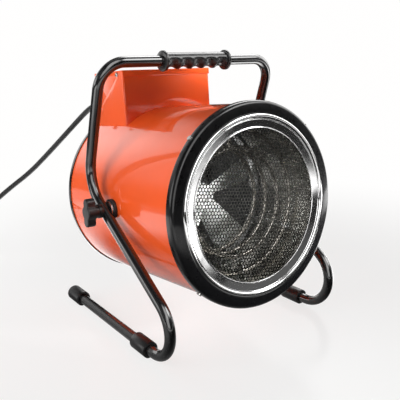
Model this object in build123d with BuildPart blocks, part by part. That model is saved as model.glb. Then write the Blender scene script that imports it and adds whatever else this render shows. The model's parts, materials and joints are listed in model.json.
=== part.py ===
"""Forced air heater: an orange drum hung between the legs of a bent tube stand.

Millimetres. +Z is up, the air leaves towards -Y and +X is across the heater. The origin is on
the floor, under the middle of the heater. The drum's own parts are placed by two sets of planes
that lean with it: across(s) lies square to the drum's axis, s in front of the pivots, and AXIAL
holds the axis, for revolved profiles drawn as (radius, s).
"""

import os
from math import atan2, ceil, cos, degrees, hypot, pi, radians, sin, sqrt, tan

from build123d import *

os.makedirs("parts", exist_ok=True)

# ---------------------------------------------------------------- driving sizes
# Fits between pieces.
seat_gap = 0.1
press_gap = 0.05
running_gap = 0.3
pivot_clearance = 0.1

# Drum and its two rims. Places along the axis are counted forward from the pivots.
drum_tilt = 5.65
casing_radius = 145.5
casing_wall = 1.0
casing_rear = -151.0
ring_front = 165.0
rear_trim_thickness = 1.5
rear_trim_depth = 7.0

bezel_stand_off = 4.5
bezel_wall = 1.6
bezel_skirt_depth = 13.0
bezel_corner_radius = 6.0
bezel_face_width = 18.0
bezel_crown = 2.5
bezel_lip_depth = 5.0
bezel_screw_count = 4
bezel_screw_place = 156.5
bezel_screw_reach = -7.5

trim_ring_wall = 0.9
trim_ring_bead_width = 7.6
trim_ring_bead_rise = 2.4
trim_ring_width = 20.5
trim_ring_dish = 3.0
trim_ring_hem = 1.4

grille_thickness = 1.0
grille_hole_across = 11.0
grille_pitch = 15.0
grille_border = 4.5
grille_turn = -8.0

# Duct, heating elements and what carries them.
liner_air_gap = 27.5
liner_wall = 0.8
liner_rear = 46.0
liner_flange_wall = 1.0
support_wall = 1.2
support_tab = 9.0
support_inset = 2.0

element_tube_radius = 3.2
element_clearance = 10.0
element_turn_gap = 26.0
element_front_place = 118.0
element_pitch = 27.0
element_leg_spread = 12.0
element_leg_bend = 11.0
element_front_leg = 21.0
terminal_plate_wall = 1.2
terminal_plate_half_angle = 18.0
terminal_plate_margin = 12.0
bushing_radius = 5.5
bushing_length = 9.0
terminal_radius = 1.6
terminal_length = 8.0
hanger_wall = 1.2
hanger_margin = 9.0
hanger_foot = 9.0

# Fan and motor.
fan_place = 22.0
fan_to_liner = 6.0
fan_hub_radius = 21.0
fan_hub_length = 24.0
blade_count = 5
blade_wall = 1.4
blade_root_chord = 34.0
blade_tip_chord = 62.0
blade_root_angle = 42.0
blade_tip_angle = 24.0
blade_camber = 3.0
blade_sink = 3.0
shroud_wall = 1.2
shroud_rear = 17.0
shroud_collar = 20.0
shroud_bell_radius = 6.0
fan_tip_gap = 4.0
shaft_radius = 4.0
motor_radius = 41.0
motor_length = 70.0
motor_front = -6.0
motor_bell_radius = 30.0
motor_bell_depth = 9.0
motor_slot_count = 16
motor_slot_depth = 3.0
motor_slot_width = 4.0
motor_slot_length = 26.0
shaft_in_motor = 34.0
bracket_arm_count = 4
bracket_margin = 6.0
bracket_wall = 2.0
bracket_arm_width = 18.0
bracket_tab = 16.0
bracket_bolt_radius = 2.5
bracket_bolt_circle = 36.0
bracket_bolt_length = 14.0
bolt_head_radius = 4.5
bolt_head_height = 3.5
cutout_radius = 8.0
cutout_height = 9.0
cutout_angle = 60.0

# Rear intake guard.
guard_wall = 1.2
guard_inset = 7.0
guard_flange = 12.0
guard_slot_width = 8.0
guard_slot_step = 17.0
guard_slot_inner_radius = 36.0
guard_border = 18.0
guard_rib_angles = (45, 135)
guard_rib_width = 14.0

# Control box.
box_front = -44.5
box_rear = -139.0
box_half_width = 85.0
box_top = 205.6
box_wall = 1.2
lid_lip_depth = 10.0
lid_lip_step = 1.3
lid_flange_depth = 12.0
box_bend_radius = 3.0
lid_screw_places = (-61.8, -116.0)
panel_screw_rises = (146.0, 178.0)
control_knob_radius = 16.0
control_knob_height = 15.0
control_knob_base = 5.0
control_knob_grip_width = 6.0
control_shaft_radius = 3.0
control_shaft_depth = 12.0
control_bush_radius = 4.8
control_bush_length = 3.0
heat_knob_place = -5.0
thermostat_knob_place = 45.0
switch_body = 30.0
switch_depth = 24.0
thermostat_width = 36.0
thermostat_height = 26.0
thermostat_depth = 20.0
gland_place = -58.0
gland_above_drum = 8.5
gland_radius = 9.0
gland_nut_radius = 12.5
gland_nut_depth = 5.0
gland_sleeve_length = 22.0
gland_sleeve_radius = 6.4
wiring_hole_radius = 11.0
wiring_hole_place = -90.0
terminal_block_width = 52.0
terminal_block_height = 16.0
terminal_block_depth = 18.0
terminal_ways = 4
terminal_way_radius = 3.2
terminal_way_depth = 5.0

# Stand.
tube_radius = 8.0
tube_wall = 1.5
pivot_height = 196.0
pivot_place = -0.09
leg_lean = 55.9
riser_lean = 16.7
knee_above_pivot = 55.8
knee_radius = 59.0
foot_bend_radius = 46.0
top_height = 411.5
top_corner_radius = 38.0
run_length = 266.0
toe_in = 4.0
heel_in = 9.0
cap_radius = 12.5
cap_length = 38.0
cap_end_wall = 4.0
foot_flat = 0.5
sleeve_length = 38.0
sleeve_setback = 9.3

grip_offset = 2.5
grip_length = 123.0
grip_radius = 12.4
grip_flange_radius = 15.5
grip_flange_width = 5.0
grip_wave_count = 5
grip_wave_depth = 2.6
grip_ridge_width = 3.0

# Pivot clamps.
spacer_radius = 15.0
spacer_thickness = 4.6
cup_radius = 12.0
cup_thickness = 1.6
cup_rim = 1.4
stud_radius = 4.0
nut_plate_radius = 15.0
nut_plate_thickness = 2.0
nut_radius = 8.0
nut_length = 8.0
saddle_radius = 10.5
saddle_wrap = 3.5
saddle_thickness = 2.8
clamp_neck_radius = 9.6
clamp_neck_length = 6.5
clamp_bar_depth = 13.0
clamp_bar_length = 43.0
clamp_bar_width = 14.0
clamp_hub_radius = 11.5
clamp_edge_radius = 2.0
clamp_stud_in_knob = 10.0
screw_head_radius = 3.6
screw_head_height = 2.2
screw_shank_radius = 1.9
screw_length = 5.0

# Supply cord.
cord_diameter = 9.5
coil_gap = 0.6
coil_radius = 56.0
coil_half_turns = 4
plug_radius = 18.0
plug_length = 46.0
plug_neck_radius = 7.0
plug_neck_length = 22.0
plug_root_radius = 11.0
plug_pin_radius = 2.4
plug_pin_length = 19.0
plug_pin_spacing = 19.0

# ---------------------------------------------------------------- frame and derived sizes
lean = radians(drum_tilt)
UP = Vector(0, sin(lean), cos(lean))
FORWARD = Vector(0, -cos(lean), sin(lean))
PIVOT = Vector(0, pivot_place, pivot_height)
DRUM_AXIS = Axis(PIVOT, FORWARD)
RISING = Plane(origin=PIVOT, x_dir=(1, 0, 0), z_dir=UP)

casing_bore = casing_radius - casing_wall
lip_end = ring_front + bezel_crown - bezel_lip_depth
grille_front = lip_end - seat_gap
grille_rear = grille_front - grille_thickness
liner_front = grille_rear - seat_gap
casing_front = liner_front - liner_flange_wall - seat_gap
run_height = cap_radius - foot_flat
bezel_radius = casing_radius + bezel_stand_off
bezel_bore_radius = bezel_radius - bezel_face_width
trim_ring_bore_radius = bezel_bore_radius - trim_ring_width
grille_pattern_radius = trim_ring_bore_radius - grille_border
liner_radius = casing_radius - liner_air_gap
fan_radius = liner_radius - fan_to_liner
gland_rise = casing_radius + gland_above_drum
element_outer_radius = liner_radius - element_clearance
element_inner_radius = element_outer_radius - element_turn_gap
# The controls sit midway between the drum and the lid.
control_knob_rise = (casing_radius + box_top - box_wall) / 2
pivot_half_width = (
    casing_radius + spacer_thickness + cup_thickness + 3 * seat_gap + tube_radius
)
cord_radius = cord_diameter / 2


def across(place):
    """Plane square to the drum's axis: x across, y up the tilted drum, z out of the outlet."""
    return Plane(origin=PIVOT + FORWARD * place, x_dir=(1, 0, 0), z_dir=FORWARD)


def at_height(rise):
    """Plane along the tilted drum, at a height over its axis: x across, y towards the rear."""
    return RISING.offset(rise)


def meridian(angle):
    """Plane holding the drum's axis, turned by an angle from across: x is radial, y forward."""
    radial = Vector(1, 0, 0) * cos(radians(angle)) + UP * sin(radians(angle))
    return Plane(origin=PIVOT, x_dir=radial, z_dir=radial.cross(FORWARD))


def turned(plane, angle):
    """The same plane with its x and y turned about its normal."""
    x_dir = plane.x_dir * cos(radians(angle)) + plane.y_dir * sin(radians(angle))
    return Plane(origin=plane.origin, x_dir=x_dir, z_dir=plane.z_dir)


AXIAL = meridian(0)


def sideways(distance):
    """Plane square to X, at a signed distance from the middle, its z pointing outwards."""
    out = 1 if distance > 0 else -1
    return Plane(origin=(distance, pivot_place, pivot_height), x_dir=(0, 1, 0), z_dir=(out, 0, 0))


def save(part, name):
    """Label a finished piece and write it as one STEP file."""
    part.label = name
    export_step(part, f"parts/{name}.step")


def ring(inner, outer, rear, front, mode=Mode.ADD):
    """Revolve a plain ring between two radii and two places along the drum's axis."""
    with BuildSketch(AXIAL) as profile:
        with Locations(((inner + outer) / 2, (rear + front) / 2)):
            Rectangle(outer - inner, front - rear)
    revolve(profile.sketch, axis=DRUM_AXIS, mode=mode)


def disc(plane, radius, height, mode=Mode.ADD):
    """Extrude a circle out of a plane, or into it when the height is negative."""
    with BuildSketch(plane) as profile:
        Circle(radius)
    extrude(profile.sketch, amount=height, mode=mode)


def bezel_screw_holes():
    """Cut the radial holes for the bezel's screws."""
    for turn in range(bezel_screw_count):
        outward = meridian(45 + 360 * turn / bezel_screw_count).x_dir
        seat = PIVOT + FORWARD * bezel_screw_place + outward * (bezel_radius + seat_gap)
        plane = Plane(origin=seat, x_dir=FORWARD, z_dir=outward)
        disc(plane, screw_shank_radius + press_gap, 2 * bezel_screw_reach, Mode.SUBTRACT)


# ---------------------------------------------------------------- bezel, trim ring, grille
with BuildPart() as casing:
    ring(casing_bore, casing_radius, casing_rear, casing_front)
    # Holes for the two pivot studs and, under the control box, for the wiring.
    with BuildSketch(sideways(-casing_radius)):
        Circle(stud_radius + pivot_clearance)
    extrude(amount=-2 * casing_radius, mode=Mode.SUBTRACT)
    with BuildSketch(at_height(casing_bore - casing_wall)):
        with Locations((0, -wiring_hole_place)):
            Circle(wiring_hole_radius)
    extrude(amount=3 * casing_wall, mode=Mode.SUBTRACT)
    bezel_screw_holes()
save(casing.part, "casing")

with BuildPart() as rear_edge_trim:
    # A channel pressed over the casing's rear edge.
    ring(
        casing_bore - seat_gap - rear_trim_thickness,
        casing_radius + seat_gap + rear_trim_thickness,
        casing_rear - rear_trim_thickness,
        casing_rear - rear_trim_thickness + rear_trim_depth,
    )
    with BuildSketch(AXIAL):
        with Locations(((casing_bore + casing_radius) / 2, casing_rear - seat_gap)):
            Rectangle(casing_wall + 2 * seat_gap, rear_trim_depth, align=(Align.CENTER, Align.MIN))
    revolve(axis=DRUM_AXIS, mode=Mode.SUBTRACT)
    rims = rear_edge_trim.edges().filter_by(GeomType.CIRCLE).group_by(SortBy.RADIUS)
    fillet(rims[-1].sort_by(DRUM_AXIS)[0], rear_trim_thickness / 2)
save(rear_edge_trim.part, "rear_edge_trim")

with BuildPart() as front_bezel:
    # Pressed ring: a skirt round the casing, a crowned face and a lip turned back into the bore.
    with BuildSketch(AXIAL):
        with BuildLine():
            outline = FilletPolyline(
                (bezel_radius, ring_front - bezel_skirt_depth),
                (bezel_radius, ring_front),
                (bezel_bore_radius, ring_front + bezel_crown),
                (bezel_bore_radius, lip_end),
                radius=[bezel_corner_radius, bezel_wall + 0.4],
            )
            offset(amount=bezel_wall, side=Side.LEFT)
        make_face()
    revolve(axis=DRUM_AXIS)
    # The skirt's rear edge turns in to the casing.
    ring(
        casing_radius + seat_gap,
        bezel_radius - bezel_wall / 2,
        ring_front - bezel_skirt_depth,
        ring_front - bezel_skirt_depth + bezel_wall,
    )
    bezel_screw_holes()
save(front_bezel.part, "front_bezel")

with BuildPart() as trim_ring:
    # Polished ring: a rolled bead outside, a dished band and a small hem round the grille.
    bead_outer = bezel_bore_radius - seat_gap
    bead_inner = bead_outer - trim_ring_bead_width
    bead_foot = ring_front + bezel_crown - trim_ring_wall
    band_inner = trim_ring_bore_radius + trim_ring_hem
    band_foot = bead_foot - trim_ring_dish
    with BuildSketch(AXIAL):
        with BuildLine():
            Line((bead_outer, lip_end), (bead_outer, bead_foot))
            ThreePointArc(
                (bead_outer, bead_foot),
                ((bead_outer + bead_inner) / 2, bead_foot + trim_ring_bead_rise),
                (bead_inner, bead_foot),
            )
            Line((bead_inner, bead_foot), (band_inner, band_foot))
            ThreePointArc(
                (band_inner, band_foot),
                (trim_ring_bore_radius, band_foot + trim_ring_hem),
                (trim_ring_bore_radius - trim_ring_hem, band_foot),
            )
            offset(amount=trim_ring_wall, side=Side.LEFT)
        make_face()
    revolve(axis=DRUM_AXIS)
save(trim_ring.part, "trim_ring")


def staggered_holes(pitch, radius):
    """Centres of a staggered pattern of holes that lie inside a circle."""
    row_step = pitch * sqrt(3) / 2
    reach = ceil(radius / row_step)
    centres = []
    for row in range(-reach, reach + 1):
        for column in range(-reach - 1, reach + 1):
            centre = (pitch * (column + 0.5 * (row % 2)), row_step * row)
            if hypot(*centre) < radius:
                centres.append(centre)
    return centres


with BuildPart() as outlet_grille:
    with BuildSketch(turned(across(grille_rear), grille_turn)):
        Circle(bezel_bore_radius + bezel_wall + liner_flange_wall)
        with Locations(*staggered_holes(grille_pitch, grille_pattern_radius - grille_hole_across / 2)):
            RegularPolygon(grille_hole_across / 2, 6, major_radius=False, mode=Mode.SUBTRACT)
    extrude(amount=grille_thickness)
save(outlet_grille.part, "outlet_grille")

# ---------------------------------------------------------------- duct and heating elements
element_places = [
    element_front_place,
    element_front_place - element_pitch / 2,
    element_front_place - element_pitch,
    element_front_place - 2 * element_pitch,
]
plate_rear = element_places[-1] - terminal_plate_margin
plate_front = element_places[0] + terminal_plate_margin
plate_inner = liner_radius + liner_wall + seat_gap
plate_outer = plate_inner + terminal_plate_wall
window_half_width = (plate_inner - terminal_plate_margin / 2) * sin(radians(terminal_plate_half_angle))
window_half_width -= terminal_plate_margin / 2
leg_top = plate_outer + bushing_length

with BuildPart() as liner:
    with BuildSketch(AXIAL):
        with BuildLine():
            Polyline(
                (liner_radius, liner_rear),
                (liner_radius, liner_front),
                (casing_radius, liner_front),
                (casing_radius, liner_front - liner_flange_wall),
                (liner_radius + liner_wall, liner_front - liner_flange_wall),
                (liner_radius + liner_wall, liner_rear),
                close=True,
            )
        make_face()
    revolve(axis=DRUM_AXIS)
    # Window under the terminal plate.
    with BuildSketch(at_height(0)):
        with Locations((0, -(plate_rear + plate_front) / 2)):
            Rectangle(2 * window_half_width, plate_front - plate_rear - terminal_plate_margin)
    extrude(amount=plate_outer, mode=Mode.SUBTRACT)
save(liner.part, "liner")

with BuildPart() as liner_support:
    # Ring plate between the liner's rear end and the casing, with a flange on the casing.
    with BuildSketch(AXIAL):
        with BuildLine():
            support_rear = liner_rear + support_inset
            Polyline(
                (liner_radius + liner_wall + seat_gap, support_rear),
                (casing_bore - seat_gap, support_rear),
                (casing_bore - seat_gap, support_rear + support_tab),
            )
            offset(amount=support_wall, side=Side.LEFT)
        make_face()
    revolve(axis=DRUM_AXIS)
save(liner_support.part, "liner_support")


def leg_bend(loop_radius, spread):
    """Height of the bend's centre and the angle round the loop at which a leg's bend ends."""
    reach = spread + element_leg_bend
    height = sqrt((loop_radius + element_leg_bend) ** 2 - reach**2)
    return height, degrees(atan2(height, reach))


def biarc(start, start_direction, end, end_direction):
    """Two arcs between two points that leave and arrive along given unit directions."""
    chord = end - start
    both = start_direction + end_direction
    bend = 2 * (1 - start_direction.dot(end_direction))
    along = chord.dot(both)
    reach = (sqrt(along**2 + bend * chord.dot(chord)) - along) / bend
    first_corner = start + start_direction * reach
    last_corner = end - end_direction * reach
    middle = (first_corner + last_corner) / 2
    TangentArc(start, middle, tangent=start_direction)
    TangentArc(middle, end, tangent=(last_corner - first_corner))


def element_section(place, offset_across, top):
    """Round section of an element tube at the top end of a leg."""
    origin = PIVOT + FORWARD * place + Vector(offset_across, 0, 0) + UP * top
    with BuildSketch(Plane(origin=origin, x_dir=(1, 0, 0), z_dir=-UP)) as section:
        Circle(element_tube_radius)
    return section.sketch


def single_loop(place):
    """One heating loop with both of its legs beside each other at the top."""
    height, angle = leg_bend(element_inner_radius, element_leg_spread)
    reach = element_leg_spread + element_leg_bend
    with BuildPart() as element:
        with BuildLine(across(place)) as path:
            Line((element_leg_spread, leg_top), (element_leg_spread, height))
            CenterArc((reach, height), element_leg_bend, 180, angle)
            CenterArc((0, 0), element_inner_radius, angle, -180 - 2 * angle)
            CenterArc((-reach, height), element_leg_bend, -angle, angle)
            Line((-element_leg_spread, height), (-element_leg_spread, leg_top))
        sweep(element_section(place, element_leg_spread, leg_top), path=path.wire())
    return element.part


with BuildPart() as element_front:
    # A flat spiral of two turns that steps back at its end and runs out beside the other legs.
    front_place, step_place = element_places[0], element_places[1]
    step_start, step_end = 190, 150
    middle_radius = (element_outer_radius + element_inner_radius) / 2
    middle_drop = element_outer_radius - middle_radius
    first_height, first_angle = leg_bend(element_outer_radius, element_front_leg)
    last_height, last_angle = leg_bend(element_inner_radius, element_leg_spread)
    front_plane, step_plane = across(front_place), across(step_place)
    with BuildLine(front_plane) as spiral:
        Line((element_front_leg, leg_top), (element_front_leg, first_height))
        CenterArc(
            (element_front_leg + element_leg_bend, first_height), element_leg_bend, 180, first_angle
        )
        CenterArc((0, 0), element_outer_radius, first_angle, -90 - first_angle)
        CenterArc((0, -middle_drop), middle_radius, -90, -180)
        CenterArc((0, 0), element_inner_radius, 90, -180)
        CenterArc((0, 0), element_inner_radius, 270, step_start - 270)
    with BuildLine(step_plane) as run_out:
        CenterArc((0, 0), element_inner_radius, step_end, 180 - last_angle - step_end)
        CenterArc(
            (-element_leg_spread - element_leg_bend, last_height),
            element_leg_bend,
            -last_angle,
            last_angle,
        )
        Line((-element_leg_spread, last_height), (-element_leg_spread, leg_top))
    with BuildLine() as step:
        biarc(spiral.line @ 1, spiral.line % 1, run_out.line @ 0, run_out.line % 0)
    whole_path = Wire([*spiral.edges(), *step.edges(), *run_out.edges()])
    sweep(element_section(front_place, element_front_leg, leg_top), path=whole_path)
save(element_front.part, "element_front")

element_middle = single_loop(element_places[2])
save(element_middle, "element_middle")
element_rear = single_loop(element_places[3])
save(element_rear, "element_rear")

element_legs = [
    (element_front_leg, element_places[0]),
    (-element_leg_spread, element_places[1]),
    (element_leg_spread, element_places[2]),
    (-element_leg_spread, element_places[2]),
    (element_leg_spread, element_places[3]),
    (-element_leg_spread, element_places[3]),
]
leg_centres = [(leg, -place) for leg, place in element_legs]

with BuildPart() as terminal_plate:
    # Curved plate over the liner's window, with a hole for each leg's bushing.
    with BuildSketch(meridian(90 - terminal_plate_half_angle)):
        with Locations(((plate_inner + plate_outer) / 2, (plate_rear + plate_front) / 2)):
            Rectangle(terminal_plate_wall, plate_front - plate_rear)
    revolve(axis=DRUM_AXIS, revolution_arc=-2 * terminal_plate_half_angle)
    with BuildSketch(at_height(0)):
        with Locations(*leg_centres):
            Circle(bushing_radius + seat_gap)
    extrude(amount=leg_top, mode=Mode.SUBTRACT)
save(terminal_plate.part, "terminal_plate")

with BuildPart() as element_bushings:
    with BuildSketch(at_height(plate_outer - bushing_length / 2)):
        with Locations(*leg_centres):
            Circle(bushing_radius)
        with Locations(*leg_centres):
            Circle(element_tube_radius + press_gap, mode=Mode.SUBTRACT)
    extrude(amount=bushing_length)
save(element_bushings.part, "element_bushings")

with BuildPart() as element_terminals:
    with BuildSketch(at_height(leg_top)):
        with Locations(*leg_centres):
            Circle(terminal_radius)
    extrude(amount=terminal_length)
save(element_terminals.part, "element_terminals")


def spiral_radius(angle):
    """Distance from the axis of the spiral's outer turn at an angle in the lower half."""
    if cos(radians(angle)) >= 0:
        return element_outer_radius
    along = middle_drop * sin(radians(angle))
    return sqrt(along**2 + middle_radius**2 - middle_drop**2) - along


def hanger(angle):
    """Comb that carries the element tubes below: a rail on the liner, fingers and a foot."""
    rail_outer = liner_radius - seat_gap
    finger_inner = element_inner_radius - hanger_margin
    plane = meridian(angle)
    holes = [(spiral_radius(angle), element_places[0])]
    holes += [(element_inner_radius, element_places[n]) for n in (0, 2, 3)]
    with BuildPart() as comb:
        with BuildSketch(plane) as profile:
            with Locations((rail_outer, (plate_rear + plate_front) / 2)):
                Rectangle(
                    hanger_foot, plate_front - plate_rear, align=(Align.MAX, Align.CENTER)
                )
            for place in (element_places[0], element_places[2], element_places[3]):
                with Locations((rail_outer, place)):
                    Rectangle(
                        rail_outer - finger_inner,
                        hanger_margin + 2 * element_tube_radius,
                        align=(Align.MAX, Align.CENTER),
                    )
            with Locations(*holes):
                Circle(element_tube_radius + running_gap, mode=Mode.SUBTRACT)
        extrude(profile.sketch, amount=hanger_wall / 2, both=True)
        with BuildSketch(plane) as foot:
            with Locations((rail_outer, (plate_rear + plate_front) / 2)):
                Rectangle(hanger_wall, plate_front - plate_rear, align=(Align.MAX, Align.CENTER))
        revolve(
            foot.sketch,
            axis=DRUM_AXIS,
            revolution_arc=degrees(hanger_foot / liner_radius),
        )
    return comb.part


for number, angle in enumerate((210, 270, 330), start=1):
    save(hanger(angle), f"element_hanger_{number}")

with BuildPart() as overheat_cutout:
    with BuildSketch(across(support_rear + support_wall + seat_gap)):
        with PolarLocations((liner_radius + casing_bore) / 2, 1, start_angle=cutout_angle):
            Circle(cutout_radius)
    extrude(amount=cutout_height)
    chamfer(overheat_cutout.edges().sort_by(DRUM_AXIS)[-1], 1.0)
save(overheat_cutout.part, "overheat_cutout")

# ---------------------------------------------------------------- fan and motor
with BuildPart() as fan_shroud:
    # Orifice plate round the blades, with a rounded inlet and a flange on the casing.
    with BuildSketch(AXIAL):
        with BuildLine():
            FilletPolyline(
                (fan_radius + fan_tip_gap, shroud_rear + shroud_collar),
                (fan_radius + fan_tip_gap, shroud_rear),
                (casing_bore - seat_gap, shroud_rear),
                (casing_bore - seat_gap, shroud_rear + support_tab),
                radius=[shroud_bell_radius, 2 * shroud_wall],
            )
            offset(amount=shroud_wall, side=Side.LEFT)
        make_face()
    revolve(axis=DRUM_AXIS)
save(fan_shroud.part, "fan_shroud")


def blade_section(angle, radius):
    """Thin cambered section of a blade, square to the blade's own radial line."""
    share = (radius - fan_hub_radius) / (fan_radius - fan_hub_radius)
    chord = blade_root_chord + share * (blade_tip_chord - blade_root_chord)
    angle_there = blade_root_angle + share * (blade_tip_angle - blade_root_angle)
    outward = meridian(angle).x_dir
    plane = Plane(
        origin=PIVOT + FORWARD * fan_place + outward * radius,
        x_dir=FORWARD.cross(outward),
        z_dir=outward,
    )
    with BuildSketch(turned(plane, angle_there)) as section:
        with BuildLine():
            ThreePointArc((-chord / 2, 0), (0, blade_camber + blade_wall), (chord / 2, 0))
            ThreePointArc((chord / 2, 0), (0, blade_camber), (-chord / 2, 0))
        make_face()
    return section.sketch


with BuildPart() as fan_impeller:
    disc(across(fan_place - fan_hub_length / 2), fan_hub_radius, fan_hub_length)
    for blade in range(blade_count):
        angle = 90 + 360 * blade / blade_count
        radii = (fan_hub_radius - blade_sink, (fan_hub_radius + fan_radius) / 2, fan_radius + blade_sink)
        loft([blade_section(angle, radius) for radius in radii])
    # Round off the tips, open the boss to a cup and bore it for the shaft.
    trimmed = fan_radius + 4 * blade_sink
    ring(fan_radius, trimmed, fan_place - fan_radius, fan_place + fan_radius, Mode.SUBTRACT)
    ring(
        shaft_radius + blade_sink,
        fan_hub_radius - 2 * blade_wall,
        fan_place - fan_hub_length / 2,
        fan_place,
        Mode.SUBTRACT,
    )
    disc(
        across(fan_place - fan_hub_length / 2),
        shaft_radius + press_gap,
        fan_hub_length - blade_sink,
        Mode.SUBTRACT,
    )
save(fan_impeller.part, "fan_impeller")

with BuildPart() as motor_shaft:
    shaft_rear = motor_front - shaft_in_motor + seat_gap
    shaft_front = fan_place + fan_hub_length / 2 - blade_sink - seat_gap
    disc(across(shaft_rear), shaft_radius, shaft_front - shaft_rear)
save(motor_shaft.part, "motor_shaft")

motor_shoulder = motor_front - motor_bell_depth
bracket_face = motor_shoulder + seat_gap + bracket_wall

with BuildPart() as motor:
    disc(across(motor_front - motor_length), motor_bell_radius, motor_length)
    disc(across(motor_shoulder), motor_radius, 2 * motor_bell_depth - motor_length)
    with BuildSketch(across(motor_shoulder - bracket_bolt_length)):
        with PolarLocations(motor_radius, motor_slot_count):
            Rectangle(2 * motor_slot_depth, motor_slot_width)
    extrude(amount=-motor_slot_length, mode=Mode.SUBTRACT)
    disc(across(motor_front), shaft_radius + press_gap, -shaft_in_motor, Mode.SUBTRACT)
    with BuildSketch(across(motor_shoulder)):
        with PolarLocations(bracket_bolt_circle, bracket_arm_count, start_angle=45):
            Circle(bracket_bolt_radius + press_gap)
    extrude(amount=-bracket_bolt_length, mode=Mode.SUBTRACT)
save(motor.part, "motor")

with BuildPart() as motor_bracket:
    # Ring plate on the motor's shoulder, with four arms out to tabs on the casing.
    hub_outer = motor_radius + bracket_margin
    arm_reach = sqrt((casing_bore - seat_gap) ** 2 - (bracket_arm_width / 2) ** 2)
    ring(motor_bell_radius + running_gap, hub_outer, bracket_face - bracket_wall, bracket_face)
    for arm in range(bracket_arm_count):
        with BuildSketch(meridian(45 + 360 * arm / bracket_arm_count)) as profile:
            with BuildLine():
                outline = FilletPolyline(
                    (hub_outer - bracket_margin / 2, bracket_face),
                    (arm_reach, bracket_face),
                    (arm_reach, bracket_face - bracket_tab),
                    radius=2 * bracket_wall,
                )
                offset(amount=bracket_wall, side=Side.RIGHT)
            make_face()
        extrude(profile.sketch, amount=bracket_arm_width / 2, both=True)
    with BuildSketch(across(bracket_face)):
        with PolarLocations(bracket_bolt_circle, bracket_arm_count, start_angle=45):
            Circle(bracket_bolt_radius + press_gap)
    extrude(amount=-bracket_wall, mode=Mode.SUBTRACT)
save(motor_bracket.part, "motor_bracket")

with BuildPart() as motor_bolts:
    with BuildSketch(across(bracket_face + seat_gap)):
        with PolarLocations(bracket_bolt_circle, bracket_arm_count, start_angle=45):
            RegularPolygon(bolt_head_radius, 6)
    extrude(amount=bolt_head_height)
    with BuildSketch(across(bracket_face + seat_gap)):
        with PolarLocations(bracket_bolt_circle, bracket_arm_count, start_angle=45):
            Circle(bracket_bolt_radius)
    extrude(amount=-bracket_bolt_length)
save(motor_bolts.part, "motor_bolts")

with BuildPart() as rear_guard:
    # Pressed intake guard: rows of curved slots and a flange that seats inside the casing.
    guard_rear = casing_rear + guard_inset
    slot_reach = casing_bore - guard_border - guard_slot_width / 2 - guard_slot_inner_radius
    guard_slot_rows = int(slot_reach / guard_slot_step) + 1
    ring(casing_bore - seat_gap - guard_wall, casing_bore - seat_gap, guard_rear, guard_rear + guard_flange)
    with BuildSketch(across(guard_rear)) as plate:
        Circle(casing_bore - seat_gap)
        for row in reversed(range(guard_slot_rows)):
            radius = guard_slot_inner_radius + row * guard_slot_step
            Circle(radius + guard_slot_width / 2, mode=Mode.SUBTRACT)
            Circle(radius - guard_slot_width / 2)
        for rib in guard_rib_angles:
            Rectangle(2 * casing_bore - guard_slot_step, guard_rib_width, rotation=rib)
    extrude(plate.sketch, amount=guard_wall)
save(rear_guard.part, "rear_guard")

# ---------------------------------------------------------------- control box
wall_top = box_top - box_wall - seat_gap
wall_foot = sqrt(casing_radius**2 - box_half_width**2) - box_wall
inner_half_width = box_half_width - box_wall - seat_gap
lid_screw_rise = box_top - lid_flange_depth / 2
panel_screw_place = box_rear + lid_flange_depth / 2
side_screws = [(place, lid_screw_rise) for place in lid_screw_places]
panel_side_screws = [(panel_screw_place, rise) for rise in panel_screw_rises]
panel_inner = box_rear + box_wall


def box_side(distance):
    """Plane square to X at a signed distance from the middle: x forward, y up the drum."""
    out = 1 if distance > 0 else -1
    return Plane(origin=PIVOT + Vector(distance, 0, 0), x_dir=FORWARD, z_dir=(-out, 0, 0))


def side_points(plane, places):
    """The (place, rise) pairs as points in a box side's plane, whichever way its y runs."""
    flip = 1 if plane.y_dir.dot(UP) > 0 else -1
    return [(place, flip * rise) for place, rise in places]


def side_holes(places, radius, depth):
    """Cut round holes through both side walls of a box part."""
    for half in (-1, 1):
        plane = box_side(half * (box_half_width + depth))
        with BuildSketch(plane) as holes:
            with Locations(*side_points(plane, places)):
                Circle(radius)
        extrude(holes.sketch, amount=5 * depth, mode=Mode.SUBTRACT)


with BuildPart() as control_box:
    # Front wall and two sides bent from one sheet, cut to the drum below.
    with BuildSketch(at_height(wall_foot)):
        with BuildLine():
            FilletPolyline(
                (-box_half_width, -box_rear),
                (-box_half_width, -box_front),
                (box_half_width, -box_front),
                (box_half_width, -box_rear),
                radius=box_bend_radius,
            )
            offset(amount=box_wall, side=Side.LEFT)
        make_face()
    extrude(amount=wall_top - wall_foot)
    disc(across(box_rear - box_wall), casing_radius + seat_gap, box_half_width * 2, Mode.SUBTRACT)
    side_holes(side_screws + panel_side_screws, screw_shank_radius + press_gap, box_wall)
save(control_box.part, "control_box")

with BuildPart() as control_lid:
    lip_rear = box_front + seat_gap
    with BuildSketch(at_height(box_top)):
        with Locations((0, -(lip_rear + box_wall))):
            Rectangle(
                2 * box_half_width,
                lip_rear + box_wall - box_rear,
                align=(Align.CENTER, Align.MIN),
            )
    extrude(amount=-box_wall)
    with BuildSketch(across(lip_rear)):
        with Locations((0, box_top - lid_lip_depth / 2)):
            Rectangle(2 * box_half_width, lid_lip_depth)
    extrude(amount=box_wall)
    crest = control_lid.edges().filter_by(Axis.X).group_by(Axis(PIVOT, UP))[-1]
    fillet(crest.sort_by(DRUM_AXIS)[-1], box_wall * 0.8)
    # Flanges just inside the side walls.
    flange_front = box_front - box_wall - box_bend_radius
    flange_rear = box_rear + lid_flange_depth + box_bend_radius
    with BuildSketch(across(flange_rear)):
        for half in (-1, 1):
            with Locations((half * (inner_half_width - box_wall / 2), box_top - lid_flange_depth / 2)):
                Rectangle(box_wall, lid_flange_depth)
    extrude(amount=flange_front - flange_rear)
    side_holes(side_screws, screw_shank_radius + press_gap, box_wall)
save(control_lid.part, "control_lid")

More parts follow.
